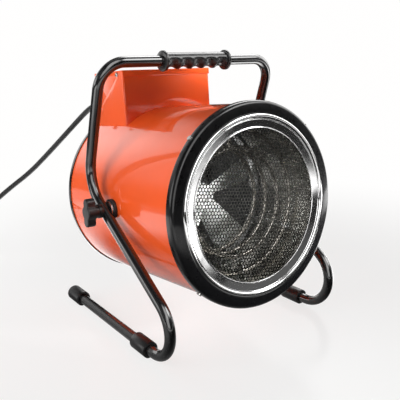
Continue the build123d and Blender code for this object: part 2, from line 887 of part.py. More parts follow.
with BuildPart() as control_back_panel:
    with BuildSketch(at_height(wall_foot)):
        with BuildLine():
            FilletPolyline(
                (-inner_half_width, -box_rear - lid_flange_depth),
                (-inner_half_width, -box_rear),
                (inner_half_width, -box_rear),
                (inner_half_width, -box_rear - lid_flange_depth),
                radius=box_bend_radius,
            )
            offset(amount=box_wall, side=Side.RIGHT)
        make_face()
    extrude(amount=wall_top - seat_gap - wall_foot)
    disc(across(box_rear - box_wall), casing_radius + seat_gap, box_half_width * 2, Mode.SUBTRACT)
    side_holes(panel_side_screws, screw_shank_radius + press_gap, box_wall)
    with BuildSketch(across(box_rear)):
        with Locations(
            (heat_knob_place, control_knob_rise), (thermostat_knob_place, control_knob_rise)
        ):
            Circle(control_bush_radius + press_gap)
        with Locations((gland_place, gland_rise)):
            Circle(gland_radius + press_gap)
    extrude(amount=box_wall, mode=Mode.SUBTRACT)
save(control_back_panel.part, "control_back_panel")


def side_screw_set(places):
    """Screws driven through both side walls at the given (place, rise) pairs."""
    with BuildPart() as screws:
        for half in (-1, 1):
            plane = box_side(half * (box_half_width + seat_gap))
            points = side_points(plane, places)
            with BuildSketch(plane) as heads:
                with Locations(*points):
                    Circle(screw_head_radius)
            extrude(heads.sketch, amount=-screw_head_height)
            with BuildSketch(plane) as shanks:
                with Locations(*points):
                    Circle(screw_shank_radius)
            extrude(shanks.sketch, amount=screw_length)
        rims = screws.edges().filter_by(GeomType.CIRCLE)
        chosen = [rim for rim in rims if abs(rim.center().X) > box_half_width + screw_head_height / 2]
        chamfer(chosen, screw_head_height / 2)
    return screws.part


save(side_screw_set(side_screws), "lid_screws")
save(side_screw_set(panel_side_screws), "panel_screws")

with BuildPart() as bezel_screws:
    # Radial screws through the bezel's skirt into the casing.
    for turn in range(bezel_screw_count):
        outward = meridian(45 + 360 * turn / bezel_screw_count).x_dir
        seat = PIVOT + FORWARD * bezel_screw_place + outward * (bezel_radius + seat_gap)
        plane = Plane(origin=seat, x_dir=FORWARD, z_dir=outward)
        disc(plane, screw_head_radius, screw_head_height)
        disc(plane, screw_shank_radius, bezel_screw_reach)
save(bezel_screws.part, "bezel_screws")


def control_switch(offset_across, width, height, depth):
    """Rotary switch or thermostat: a body behind the panel and a bored bush through it."""
    with BuildPart() as switch:
        with BuildSketch(across(panel_inner + seat_gap)) as body:
            with Locations((offset_across, control_knob_rise)):
                RectangleRounded(width, height, 2)
        extrude(body.sketch, amount=depth)
        with BuildSketch(across(panel_inner + seat_gap)) as bush:
            with Locations((offset_across, control_knob_rise)):
                Circle(control_bush_radius)
        extrude(bush.sketch, amount=-seat_gap - control_bush_length)
        with BuildSketch(across(panel_inner + seat_gap + control_shaft_depth)) as bore:
            with Locations((offset_across, control_knob_rise)):
                Circle(control_shaft_radius + press_gap)
        extrude(
            bore.sketch,
            amount=-control_shaft_depth - 2 * control_bush_length,
            mode=Mode.SUBTRACT,
        )
    return switch.part


def control_knob(offset_across):
    """Round knob with a grip across it, and the shaft that it turns."""
    face = panel_inner - control_bush_length - running_gap
    with BuildPart() as knob:
        with BuildSketch(across(face)) as base:
            with Locations((offset_across, control_knob_rise)):
                Circle(control_knob_radius)
        extrude(base.sketch, amount=-control_knob_base)
        chamfer(knob.edges().filter_by(GeomType.CIRCLE).sort_by(DRUM_AXIS)[0], 1.0)
        with BuildSketch(across(face)) as grip:
            with Locations((offset_across, control_knob_rise)):
                SlotOverall(2 * control_knob_radius - 4, control_knob_grip_width, rotation=90)
        extrude(grip.sketch, amount=-control_knob_height)
        with BuildSketch(across(face - seat_gap)) as shaft:
            with Locations((offset_across, control_knob_rise)):
                Circle(control_shaft_radius)
        extrude(
            shaft.sketch, amount=panel_inner + control_shaft_depth - face,
        )
    return knob.part


save(control_switch(heat_knob_place, switch_body, switch_body, switch_depth), "heat_switch")
save(
    control_switch(thermostat_knob_place, thermostat_width, thermostat_height, thermostat_depth),
    "thermostat",
)
save(control_knob(heat_knob_place), "heat_knob")
save(control_knob(thermostat_knob_place), "thermostat_knob")

with BuildPart() as terminal_block:
    # Row of screw terminals on the inside of the box's front wall.
    block_face = box_front - box_wall - seat_gap
    with BuildSketch(across(block_face)):
        with Locations((0, gland_rise + terminal_block_height)):
            Rectangle(terminal_block_width, terminal_block_height)
    extrude(amount=-terminal_block_depth)
    with BuildSketch(across(block_face - terminal_block_depth)):
        with Locations((0, gland_rise + terminal_block_height)):
            with GridLocations(terminal_block_width / terminal_ways, 1, terminal_ways, 1):
                Circle(terminal_way_radius)
    extrude(amount=terminal_way_depth, mode=Mode.SUBTRACT)
save(terminal_block.part, "terminal_block")

gland_axis = PIVOT + Vector(gland_place, 0, 0) + UP * gland_rise
gland_end = box_rear - gland_nut_depth - gland_sleeve_length

with BuildPart() as cable_gland:
    # Inner locknut, body through the panel, outer nut and a tapered sleeve round the cord.
    nut_plane = Plane(origin=gland_axis + FORWARD * (panel_inner + seat_gap), z_dir=-FORWARD)
    with BuildSketch(nut_plane) as locknut:
        RegularPolygon(gland_nut_radius, 6)
    extrude(locknut.sketch, amount=-gland_nut_depth)
    disc(nut_plane, gland_radius, panel_inner - box_rear + 2 * seat_gap)
    outer_plane = Plane(origin=gland_axis + FORWARD * (box_rear - seat_gap), z_dir=-FORWARD)
    with BuildSketch(outer_plane) as outer_nut:
        RegularPolygon(gland_nut_radius, 6)
    extrude(outer_nut.sketch, amount=gland_nut_depth - seat_gap)
    sleeve_plane = Plane(origin=gland_axis + FORWARD * (box_rear - gland_nut_depth), z_dir=-FORWARD)
    with BuildSketch(sleeve_plane) as sleeve_root:
        Circle(gland_radius)
    with BuildSketch(sleeve_plane.offset(gland_sleeve_length)) as sleeve_tip:
        Circle(gland_sleeve_radius)
    loft([sleeve_root.sketch, sleeve_tip.sketch])
save(cable_gland.part, "cable_gland")

# ---------------------------------------------------------------- stand
leg_direction = Vector(0, sin(radians(leg_lean)), cos(radians(leg_lean)))
front_reach = (pivot_height - run_height) / cos(radians(leg_lean))
bend_setback = foot_bend_radius * tan(radians(180 - 90 + leg_lean) / 2)
front_corner = Vector(0, pivot_place, pivot_height) - leg_direction * front_reach
knee = Vector(0, pivot_place, pivot_height) + leg_direction * knee_above_pivot
knee_half_width = (
    pivot_half_width - toe_in + toe_in * (front_reach + knee_above_pivot) / front_reach
)
top_place = knee.Y - (top_height - knee.Z) * tan(radians(riser_lean))
cap_end = front_corner.Y + bend_setback + run_length
tube_end = cap_end - cap_end_wall - seat_gap


def stand_points(half):
    """Corners of one side of the bent tube, from its rear end up to the top bar."""
    return [
        Vector(half * (pivot_half_width - heel_in), tube_end, run_height),
        Vector(half * (pivot_half_width - toe_in), front_corner.Y, run_height),
        Vector(half * knee_half_width, knee.Y, knee.Z),
        Vector(half * knee_half_width, top_place, top_height),
    ]


def run_plane(half, place):
    """Plane square to a bottom run where it passes a place from front to back."""
    rear, front = stand_points(half)[:2]
    along = (rear - front).normalized()
    origin = front + along * ((place - front.Y) / along.Y)
    return Plane(origin=origin, x_dir=(0, 0, 1), z_dir=along)


def leg_plane(half):
    """Plane square to a leg at its pivot."""
    _, low, high, _ = stand_points(half)
    return Plane(
        origin=Vector(half * pivot_half_width, pivot_place, pivot_height),
        x_dir=(half, 0, 0),
        z_dir=(high - low).normalized(),
    )


def cut_for_leg(half):
    """Clear the leg's tube out of a piece that seats against it."""
    disc(leg_plane(half).offset(-3 * tube_radius), tube_radius + seat_gap, 6 * tube_radius, Mode.SUBTRACT)


with BuildPart() as stand_tube:
    # One tube, bent to two feet, two legs and the carrying bar.
    with BuildLine() as stand_path:
        FilletPolyline(
            *stand_points(-1),
            *reversed(stand_points(1)),
            radius=[
                foot_bend_radius,
                knee_radius,
                top_corner_radius,
                top_corner_radius,
                knee_radius,
                foot_bend_radius,
            ],
        )
    with BuildSketch(Plane(origin=stand_path.line @ 0, z_dir=stand_path.line % 0)):
        Circle(tube_radius)
        Circle(tube_radius - tube_wall, mode=Mode.SUBTRACT)
    sweep()
    for half in (-1, 1):
        disc(
            sideways(half * (pivot_half_width - 2 * tube_radius)),
            stud_radius + pivot_clearance,
            4 * tube_radius,
            Mode.SUBTRACT,
        )
save(stand_tube.part, "stand_tube")

with BuildPart() as handle_grip:
    # Moulded grip with a collar at each end and finger hollows along its lower side.
    grip_start = Plane(
        origin=(grip_offset - grip_length / 2, top_place, top_height),
        x_dir=(0, 1, 0),
        z_dir=(1, 0, 0),
    )
    disc(grip_start, grip_radius, grip_length)
    hollow_pitch = (grip_length - 2 * grip_flange_width) / grip_wave_count
    hollow_half_width = hollow_pitch / 2 - grip_ridge_width / 2
    hollow_radius = (hollow_half_width**2 + grip_wave_depth**2) / (2 * grip_wave_depth)
    with BuildSketch(Plane(origin=(grip_offset, top_place, top_height), x_dir=(1, 0, 0), z_dir=(0, -1, 0))):
        with Locations((0, grip_wave_depth - grip_radius - hollow_radius)):
            with GridLocations(hollow_pitch, 1, grip_wave_count, 1):
                Circle(hollow_radius)
    extrude(amount=grip_radius, both=True, mode=Mode.SUBTRACT)
    for start in (0, grip_length - grip_flange_width):
        disc(grip_start.offset(start), grip_flange_radius, grip_flange_width)
    disc(grip_start, tube_radius + press_gap, grip_length, Mode.SUBTRACT)
save(handle_grip.part, "handle_grip")

for half, name in ((-1, "left"), (1, "right")):
    with BuildPart() as foot_cap:
        # Closed cap over the rear end of a run, flat where it stands.
        mouth = run_plane(half, cap_end - cap_length)
        disc(mouth, cap_radius, cap_length)
        fillet(foot_cap.edges().sort_by(Axis.Y)[-1], cap_radius / 5)
        disc(mouth, tube_radius + press_gap, cap_length - cap_end_wall, Mode.SUBTRACT)
        split(bisect_by=Plane.XY, keep=Keep.TOP)
    save(foot_cap.part, f"foot_cap_{name}")
    with BuildPart() as foot_sleeve:
        mouth = run_plane(half, front_corner.Y + bend_setback + sleeve_setback)
        disc(mouth, cap_radius, sleeve_length)
        disc(mouth, tube_radius + press_gap, sleeve_length, Mode.SUBTRACT)
        split(bisect_by=Plane.XY, keep=Keep.TOP)
    save(foot_sleeve.part, f"foot_sleeve_{name}")

# ---------------------------------------------------------------- pivot clamps
plate_face = sqrt((casing_bore - seat_gap) ** 2 - nut_plate_radius**2) - nut_plate_thickness
cup_inner = casing_radius + spacer_thickness + 2 * seat_gap
tube_outer = pivot_half_width + tube_radius
saddle_outer = tube_outer + seat_gap + saddle_thickness
knob_inner = saddle_outer + seat_gap
knob_face = knob_inner + clamp_neck_length
stud_inner = plate_face - nut_length - seat_gap
stud_outer = knob_face + clamp_stud_in_knob - seat_gap

for half, name in ((-1, "left"), (1, "right")):
    with BuildPart() as nut_plate:
        # Backing plate inside the drum, curved to the casing, with its welded nut.
        disc(sideways(half * plate_face), nut_plate_radius, casing_radius - plate_face)
        outside = casing_radius + spacer_thickness
        ring(casing_bore - seat_gap, outside, -spacer_radius, spacer_radius, Mode.SUBTRACT)
        with BuildSketch(sideways(half * plate_face)) as nut:
            RegularPolygon(nut_radius, 6)
        extrude(nut.sketch, amount=-nut_length)
        disc(
            sideways(half * (plate_face - nut_length)),
            stud_radius + press_gap,
            casing_radius - plate_face + nut_length,
            Mode.SUBTRACT,
        )
    save(nut_plate.part, f"nut_plate_{name}")

    with BuildPart() as pivot_spacer:
        # Rubber spacer, hollowed to the drum's curve.
        spacer_face = casing_radius + seat_gap + spacer_thickness
        disc(sideways(half * plate_face), spacer_radius, spacer_face - plate_face)
        disc(across(-2 * spacer_radius), casing_radius + seat_gap, 4 * spacer_radius, Mode.SUBTRACT)
        disc(
            sideways(half * plate_face),
            stud_radius + pivot_clearance,
            casing_radius,
            Mode.SUBTRACT,
        )
    save(pivot_spacer.part, f"pivot_spacer_{name}")

    with BuildPart() as cup_washer:
        # Dished washer between the spacer and the round of the tube.
        disc(sideways(half * cup_inner), cup_radius, cup_thickness + cup_rim)
        disc(sideways(half * cup_inner), stud_radius + pivot_clearance, cup_radius, Mode.SUBTRACT)
        cut_for_leg(half)
    save(cup_washer.part, f"cup_washer_{name}")

    with BuildPart() as knob_saddle:
        # Saddle between the outside of the tube and the knob's neck.
        saddle_inner = tube_outer - saddle_wrap
        disc(sideways(half * saddle_inner), saddle_radius, saddle_outer - saddle_inner)
        stud_hole = stud_radius + pivot_clearance
        disc(sideways(half * pivot_half_width), stud_hole, 4 * tube_radius, Mode.SUBTRACT)
        cut_for_leg(half)
    save(knob_saddle.part, f"knob_saddle_{name}")

    with BuildPart() as clamp_knob:
        # Neck, round hub and a bar to turn it by.
        disc(sideways(half * knob_inner), clamp_neck_radius, clamp_neck_length)
        with BuildSketch(sideways(half * knob_face)) as head:
            SlotOverall(clamp_bar_length, clamp_bar_width, rotation=90)
            Circle(clamp_hub_radius)
        extrude(head.sketch, amount=clamp_bar_depth)
        outer_face = clamp_knob.faces().filter_by(Axis.X).sort_by(Axis.X)[-1 if half > 0 else 0]
        fillet(outer_face.edges(), clamp_edge_radius)
        disc(
            sideways(half * knob_inner),
            stud_radius + press_gap,
            clamp_neck_length + clamp_stud_in_knob,
            Mode.SUBTRACT,
        )
    save(clamp_knob.part, f"clamp_knob_{name}")

    with BuildPart() as clamp_stud:
        disc(sideways(half * stud_inner), stud_radius, stud_outer - stud_inner)
    save(clamp_stud.part, f"clamp_stud_{name}")

# ---------------------------------------------------------------- supply cord
# The route: straight out of the gland, then over the back, down to the floor and along it.
cord_exit = gland_axis + FORWARD * gland_end
cord_route = [cord_exit, cord_exit - FORWARD * 22]
cord_route += [
    Vector(x, pivot_place + y, z)
    for x, y, z in (
        (-56.9, 240.0, 321.1),
        (-83.7, 285.0, 272.2),
        (-107.3, 328.0, 227.4),
        (-133.3, 362.0, 187.4),
        (-165.4, 393.0, 154.2),
        (-202.0, 420.0, 116.0),
        (-240.0, 444.0, 74.0),
        (-276.0, 470.0, 38.0),
        (-308.0, 505.0, 13.0),
        (-330.0, 552.0, cord_radius),
        (-342.0, 597.0, cord_radius),
    )
]
runs = [after - before for before, after in zip(cord_route, cord_route[1:])]
cord_radii = [
    0.45 * min(before.length, after.length) / tan(radians(before.get_angle(after)) / 2)
    for before, after in zip(runs, runs[1:])
]
print("cord runs", [round(run.length, 1) for run in runs])
print("cord bend radii", [round(radius, 1) for radius in cord_radii])

with BuildPart() as cord_run:
    with BuildLine() as route:
        FilletPolyline(*cord_route, radius=cord_radii)
    with BuildSketch(Plane(origin=cord_exit, z_dir=-FORWARD)):
        Circle(cord_radius)
    sweep()
save(cord_run.part, "cord_run")
run_volume = pi * cord_radius**2 * route.wire().length
print("cord run", round(route.wire().length), "volume ratio", round(cord_run.part.volume / run_volume, 4))

# The coil: half turns that close in on the floor, one that climbs, then half turns that open
# out on top, and a short rise to the plug's axis.
coil_pitch = cord_diameter + coil_gap
heading = runs[-1].normalized()
inward = heading.cross(Vector(0, 0, 1))
half_turn_radii = [coil_radius - step * coil_pitch / 2 for step in range(coil_half_turns)]
climb_radius = coil_radius - coil_half_turns * coil_pitch / 2
plug_axis_rise = plug_radius + foot_flat - cord_radius - coil_pitch
lead_length = 4 * cord_diameter

with BuildPart() as cord_coil:
    with BuildLine() as coil_path:
        here, side, ahead = cord_route[-1], inward, heading
        for radius in half_turn_radii:
            over = here + side * radius + ahead * radius
            across_there = here + side * 2 * radius
            ThreePointArc(here, over, across_there)
            here, side, ahead = across_there, side * -1, ahead * -1
        across_there = here + side * 2 * climb_radius + Vector(0, 0, coil_pitch)
        over = (here + across_there) / 2 + ahead * ((across_there - here).length / 2)
        ThreePointArc(here, over, across_there)
        here, side, ahead = across_there, side * -1, ahead * -1
        for radius in reversed(half_turn_radii):
            over = here + side * radius + ahead * radius
            across_there = here + side * 2 * radius
            ThreePointArc(here, over, across_there)
            here, side, ahead = across_there, side * -1, ahead * -1
        lead_end = here + ahead * lead_length + Vector(0, 0, plug_axis_rise)
        TangentArc(here, (here + lead_end) / 2, tangent=ahead)
        TangentArc((here + lead_end) / 2, lead_end, tangent=coil_path.wire() % 1)
        plug_start = lead_end + ahead * cord_diameter
        Line(lead_end, plug_start)
    with BuildSketch(Plane(origin=cord_route[-1], z_dir=heading)):
        Circle(cord_radius)
    sweep()
save(cord_coil.part, "cord_coil")
coil_volume = pi * cord_radius**2 * coil_path.wire().length
print("coil", round(coil_path.wire().length), "volume ratio", round(cord_coil.part.volume / coil_volume, 4))

with BuildPart() as mains_plug:
    plug_plane = Plane(origin=plug_start, x_dir=(0, 0, 1), z_dir=ahead)
    with BuildSketch(plug_plane):
        Circle(plug_neck_radius)
    with BuildSketch(plug_plane.offset(plug_neck_length)):
        Circle(plug_root_radius)
    loft()
    disc(plug_plane.offset(plug_neck_length), plug_radius, plug_length)
    rims = mains_plug.edges().filter_by(GeomType.CIRCLE).group_by(SortBy.RADIUS)[-1]
    fillet(rims, 3.0)
    with BuildSketch(plug_plane.offset(plug_neck_length + plug_length)):
        with Locations((0, plug_pin_spacing / 2), (0, -plug_pin_spacing / 2)):
            Circle(plug_pin_radius)
    extrude(amount=plug_pin_length)
save(mains_plug.part, "mains_plug")

steps = round(coil_path.wire().length)
samples = [coil_path.wire() @ (step / steps) for step in range(steps + 1)]
least = min(
    (samples[first] - samples[second]).length
    for first in range(0, len(samples), 3)
    for second in range(first + 40, len(samples))
)
print("coil's least gap to itself", round(least - cord_diameter, 2))
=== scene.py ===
"""Forced air heater: its looks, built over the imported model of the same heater.

Metres, in the row frame. The drum's own pieces are drawn in the drum's frame, where the axis is
local Y and the outlet faces local -Y, and are then leaned back with the drum.
"""

import json
import logging
import math
from collections.abc import Iterable, Sequence
from dataclasses import dataclass
from enum import Enum
from typing import ClassVar

import bmesh
import bpy
from mathutils import Matrix, Vector

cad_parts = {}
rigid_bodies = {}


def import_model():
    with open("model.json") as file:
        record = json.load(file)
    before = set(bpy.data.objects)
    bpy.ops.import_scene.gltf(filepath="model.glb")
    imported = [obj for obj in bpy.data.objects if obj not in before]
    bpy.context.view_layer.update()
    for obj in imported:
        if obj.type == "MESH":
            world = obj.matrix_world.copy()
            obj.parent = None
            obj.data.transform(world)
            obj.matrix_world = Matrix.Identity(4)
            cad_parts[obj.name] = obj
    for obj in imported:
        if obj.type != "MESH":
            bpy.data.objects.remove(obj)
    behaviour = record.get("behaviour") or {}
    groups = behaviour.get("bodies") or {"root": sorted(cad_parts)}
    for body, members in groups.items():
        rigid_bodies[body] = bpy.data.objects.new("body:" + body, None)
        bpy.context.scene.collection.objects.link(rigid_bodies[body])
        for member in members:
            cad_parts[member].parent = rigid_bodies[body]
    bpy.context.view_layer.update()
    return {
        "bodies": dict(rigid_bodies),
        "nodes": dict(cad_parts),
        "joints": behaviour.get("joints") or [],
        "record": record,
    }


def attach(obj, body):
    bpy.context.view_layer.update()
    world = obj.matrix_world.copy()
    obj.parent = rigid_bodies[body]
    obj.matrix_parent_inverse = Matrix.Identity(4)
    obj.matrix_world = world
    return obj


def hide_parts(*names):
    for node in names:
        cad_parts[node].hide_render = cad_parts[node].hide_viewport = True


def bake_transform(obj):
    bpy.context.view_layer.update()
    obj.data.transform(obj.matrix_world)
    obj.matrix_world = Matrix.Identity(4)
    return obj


log = logging.getLogger("heater")

Point = tuple[float, float, float]
Colour = tuple[float, float, float]
BMesh = bmesh.types.BMesh
Tree = bpy.types.NodeTree
Socket = bpy.types.NodeSocket

PIVOT = Vector((0.0, -0.00009, 0.196))
DRUM_TILT = math.radians(5.65)
DRUM = Matrix.Translation(PIVOT) @ Matrix.Rotation(-DRUM_TILT, 4, "X")


def drum_point(across: float, forward: float, rise: float) -> Vector:
    """Return a point of the leaning drum in the row frame."""
    return DRUM @ Vector((across, -forward, rise))


def drum_way(across: float, forward: float, rise: float) -> Vector:
    """Return a direction of the leaning drum in the row frame."""
    return DRUM.to_3x3() @ Vector((across, -forward, rise))


# --- shader nodes
def add_node(
    tree: Tree, kind: str, inputs: dict[str | int, object], **settings: object
) -> bpy.types.Node:
    """Add a shader node.

    Args:
        tree: The tree to add it to.
        kind: Its type, without the usual beginning.
        inputs: A value or another node's output for each of its inputs.
        settings: What it is set to do.

    Returns:
        The new node.
    """
    node = tree.nodes.new(f"ShaderNode{kind}")
    for name, value in settings.items():
        setattr(node, name, value)
    for key, value in inputs.items():
        if isinstance(value, Socket):
            tree.links.new(value, node.inputs[key])
        else:
            node.inputs[key].default_value = value
    return node


def maths(tree: Tree, operation: str, *values: float | Socket) -> Socket:
    """Return the result of a sum on numbers or sockets."""
    return add_node(tree, "Math", dict(enumerate(values)), operation=operation).outputs["Value"]


def vector_maths(tree: Tree, operation: str, *vectors: Socket | Point) -> Socket:
    """Return the number that a vector operation gives."""
    inputs = dict(enumerate(vectors))
    return add_node(tree, "VectorMath", inputs, operation=operation).outputs["Value"]


def mapped(
    tree: Tree, value: Socket, start: float, end: float, low: float, high: float,
    interpolation: str = "LINEAR",
) -> Socket:
    """Return a value that runs from low to high between two limits."""
    inputs = {"Value": value, "From Min": start, "From Max": end, "To Min": low, "To Max": high}
    return add_node(tree, "MapRange", inputs, interpolation_type=interpolation).outputs["Result"]


# --- finishes
class Body(Enum):
    """The stand and the bodies that move on it."""

    STAND = "stand"
    DRUM = "drum"
    FAN = "fan"
    HEAT_CONTROL = "heat_control"
    THERMOSTAT = "thermostat_control"
    SADDLE_LEFT = "saddle_left"
    SADDLE_RIGHT = "saddle_right"
    KNOB_LEFT = "knob_left"
    KNOB_RIGHT = "knob_right"


@dataclass(frozen=True)
class Finish:
    """A painted, moulded or metal surface with its own fine grain.

    The colour is linear. Scales are in cycles per metre, the depths say how far the colour and
    the roughness vary, grain_height is the bump's height in metres, and stretch scales the
    pattern along X, Y and Z. Most of a noise lies within NOISE_SPAN.
    """

    name: str
    slot: str
    colour: Colour
    roughness: float
    metallic: float = 0.0
    coat: float = 0.0
    coat_roughness: float = 0.03
    coat_ior: float = 1.5
    specular: float = 0.5
    tint_scale: float = 30.0
    tint_depth: float = 0.08
    rough_depth: float = 0.05
    grain_scale: float = 900.0
    grain_strength: float = 0.1
    grain_height: float = 0.0001
    stretch: Point = (1.0, 1.0, 1.0)

    NOISE_SPAN: ClassVar[tuple[float, float]] = (0.3, 0.7)

    def material(self) -> bpy.types.Material:
        """Make the material, once.

        Returns:
            The material.
        """
        name = f"finish_{self.name}"
        made = bpy.data.materials.get(name)
        if made is None:
            made = bpy.data.materials.new(name)
            made.use_nodes = True
            self.dress(made.node_tree)
        return made

    def dress(self, tree: Tree) -> None:
        """Wire the surface: varied colour and roughness, and a fine bump.

        Args:
            tree: The material's own node tree.
        """
        shader = tree.nodes["Principled BSDF"]
        shader.inputs["Metallic"].default_value = self.metallic
        shader.inputs["Coat Weight"].default_value = self.coat
        shader.inputs["Coat Roughness"].default_value = self.coat_roughness
        shader.inputs["Coat IOR"].default_value = self.coat_ior
        shader.inputs["Specular IOR Level"].default_value = self.specular
        source = tree.nodes.new("ShaderNodeTexCoord")
        place = add_node(
            tree, "Mapping", {"Vector": source.outputs["Object"], "Scale": self.stretch}
        ).outputs["Vector"]
        tree.links.new(self.tint(tree, place), shader.inputs["Base Color"])
        smear = self.noise(tree, place, self.tint_scale * 3.0, 3.0)
        low, high = self.roughness - self.rough_depth, self.roughness + self.rough_depth
        tree.links.new(
            mapped(tree, smear, *self.NOISE_SPAN, max(0.01, low), high),
            shader.inputs["Roughness"],
        )
        bump = add_node(tree, "Bump", {
            "Strength": self.grain_strength, "Distance": self.grain_height,
            "Height": self.noise(tree, place, self.grain_scale, 2.0),
        })
        tree.links.new(bump.outputs["Normal"], shader.inputs["Normal"])

    @staticmethod
    def noise(tree: Tree, place: Socket, scale: float, detail: float) -> Socket:
        """Return a noise value at a place."""
        inputs = {"Vector": place, "Scale": scale, "Detail": detail}
        return add_node(tree, "TexNoise", inputs).outputs["Fac"]

    def tint(self, tree: Tree, place: Socket) -> Socket:
        """Vary the colour, a little darker here and lighter there.

        Args:
            tree: The material's node tree.
            place: The place on the piece.

        Returns:
            The colour at that place.
        """
        cloud = self.noise(tree, place, self.tint_scale, 4.0)
        node = add_node(tree, "ValToRGB", {"Fac": cloud})
        depths = (-self.tint_depth, self.tint_depth)
        for stop, at, depth in zip(node.color_ramp.elements, self.NOISE_SPAN, depths):
            stop.position = at
            stop.color = (*(min(1.0, c * (1.0 + depth)) for c in self.colour), 1.0)
        return node.outputs["Color"]


ORANGE = Finish("orange_paint", "orange_paint", (0.87, 0.10, 0.014), 0.42, coat=1.0,
                coat_roughness=0.02, specular=0.25, tint_scale=14.0, tint_depth=0.03,
                rough_depth=0.03, grain_scale=420.0, grain_strength=0.05, grain_height=0.00015)
# Near-black painted shade for the inside of the drum's casing, which lies dark because little
# light gets in.
DRUM_INSIDE_SHADE = Finish("drum_inside_painted_shade", "orange_paint", (0.055, 0.055, 0.055), 0.6, tint_scale=25.0,
                tint_depth=0.1, grain_scale=700.0, grain_strength=0.2)
BEZEL_BLACK = Finish("bezel_black", "black_trim", (0.004, 0.004, 0.0045), 0.3, coat=0.6,
                     coat_roughness=0.04, specular=0.2, grain_scale=500.0, grain_strength=0.04)
POLISHED = Finish("polished_ring", "polished_steel", (0.93, 0.93, 0.93), 0.075, metallic=1.0,
                  tint_depth=0.02, rough_depth=0.015, grain_scale=260.0, grain_strength=0.015)
MESH_STEEL = Finish("perforated_steel", "mesh_steel", (0.11, 0.107, 0.10), 0.24, metallic=1.0,
                    tint_depth=0.06, rough_depth=0.06, grain_scale=700.0, grain_strength=0.05)
GALVANISED = Finish("galvanised_sheet", "galvanised_steel", (0.60, 0.60, 0.59), 0.3,
                    metallic=1.0, tint_scale=70.0, tint_depth=0.16, rough_depth=0.1,
                    grain_scale=240.0, grain_strength=0.08)
LINER_STEEL = Finish("liner_sheet", "galvanised_steel", (0.68, 0.67, 0.62), 0.26, metallic=0.7,
                     tint_scale=22.0, tint_depth=0.12, rough_depth=0.08, grain_scale=200.0,
                     grain_strength=0.05, stretch=(1.0, 0.25, 1.0))
SHEATH = Finish("element_sheath", "element_steel", (0.60, 0.57, 0.52), 0.17, metallic=1.0,
                tint_scale=45.0, tint_depth=0.2, rough_depth=0.04, grain_scale=900.0,
                grain_strength=0.03)
CERAMIC = Finish("glazed_ceramic", "ceramic", (0.80, 0.77, 0.70), 0.25, tint_depth=0.04)
BRASS = Finish("bright_brass", "brass", (0.66, 0.45, 0.16), 0.25, metallic=1.0)
FAN_METAL = Finish("fan_sheet", "fan_aluminium", (0.84, 0.84, 0.83), 0.42, metallic=0.45,
                   tint_depth=0.08, grain_scale=300.0, stretch=(1.0, 1.0, 0.2))
MOTOR_BLACK = Finish("motor_paint", "motor_paint", (0.018, 0.018, 0.02), 0.4,
                     grain_scale=600.0, grain_strength=0.2)
ZINC = Finish("zinc_plate", "steel", (0.58, 0.58, 0.57), 0.28, metallic=1.0,
              tint_scale=90.0, tint_depth=0.12)
SCREW_ZINC = Finish("screw_zinc", "screw_steel", (0.60, 0.59, 0.57), 0.25, metallic=1.0,
                    tint_scale=300.0, tint_depth=0.1)
MOULDING = Finish("black_moulding", "black_moulding", (0.010, 0.010, 0.0105), 0.38,
                  tint_depth=0.15, rough_depth=0.07, grain_scale=1300.0, grain_strength=0.25)
GRIP_RUBBER = Finish("grip_rubber", "black_moulding", (0.012, 0.012, 0.0122), 0.3, specular=0.8,
                     tint_depth=0.12, rough_depth=0.05, grain_scale=1100.0, grain_strength=0.15)
GREY_MOULDING = Finish("grey_moulding", "grey_moulding", (0.42, 0.42, 0.40), 0.45,
                       grain_scale=1200.0, grain_strength=0.2)
RUBBER = Finish("spacer_rubber", "spacer_rubber", (0.012, 0.012, 0.012), 0.6,
                grain_scale=1500.0, grain_strength=0.3)
STAND_BLACK = Finish("stand_enamel", "stand_enamel", (0.005, 0.005, 0.0055), 0.3, coat=1.0,
                     coat_roughness=0.02, coat_ior=1.8, specular=0.3, tint_depth=0.1,
                     rough_depth=0.03, grain_scale=380.0, grain_strength=0.05)
SHEATHING = Finish("cord_sheath", "cord_rubber", (0.012, 0.012, 0.0125), 0.45,
                   tint_depth=0.2, rough_depth=0.08, grain_scale=1800.0, grain_strength=0.3)


# --- mesh helpers
def new_object(name: str, data: bpy.types.ID) -> bpy.types.Object:
    """Return a new object of the scene."""
    made = bpy.data.objects.new(name, data)
    bpy.context.scene.collection.objects.link(made)
    return made


def mesh_of(name: str, bm: BMesh) -> bpy.types.Mesh:
    """Return a mesh of a bmesh, which is freed."""
    mesh = bpy.data.meshes.new(name)
    bm.to_mesh(mesh)
    bm.free()
    return mesh


def only(kind: type, geom: Iterable[object]) -> list:
    """Return what is of one kind in a bmesh operator's result."""
    return [g for g in geom if isinstance(g, kind)]


def finish_piece(
    name: str, bm: BMesh, finish: Finish, body: Body, *, lean: bool = False,
    crease: float = 32.0, outward: bool = True, replaces: Sequence[str] = (),
) -> bpy.types.Object:
    """Turn a bmesh into a finished piece of the heater.

    Args:
        name: Name of the piece.
        bm: The shape, freed here.
        finish: Its finish.
        body: The body that it rides on.
        lean: True where the shape is drawn in the drum's frame.
        crease: Edges sharper than this many degrees stay sharp.
        outward: True where all faces should be turned outwards.
        replaces: CAD nodes that the piece stands for.

    Returns:
        The new object.
    """
    if lean:
        bmesh.ops.transform(bm, matrix=DRUM, verts=bm.verts)
    if outward:
        bmesh.ops.recalc_face_normals(bm, faces=bm.faces)
    mesh = mesh_of(name, bm)
    mesh.shade_smooth()
    mesh.set_sharp_from_angle(angle=math.radians(crease))
    mesh.materials.append(finish.material())
    piece = new_object(name, mesh)
    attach(piece, body.value)
    if replaces:
        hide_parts(*replaces)
    log.info("%s: %d faces", name, len(mesh.polygons))
    return piece


def edges_of(verts: Iterable[bmesh.types.BMVert]) -> list[bmesh.types.BMEdge]:
    """Return the edges that meet in some vertices."""
    return list({edge for vert in verts for edge in vert.link_edges})


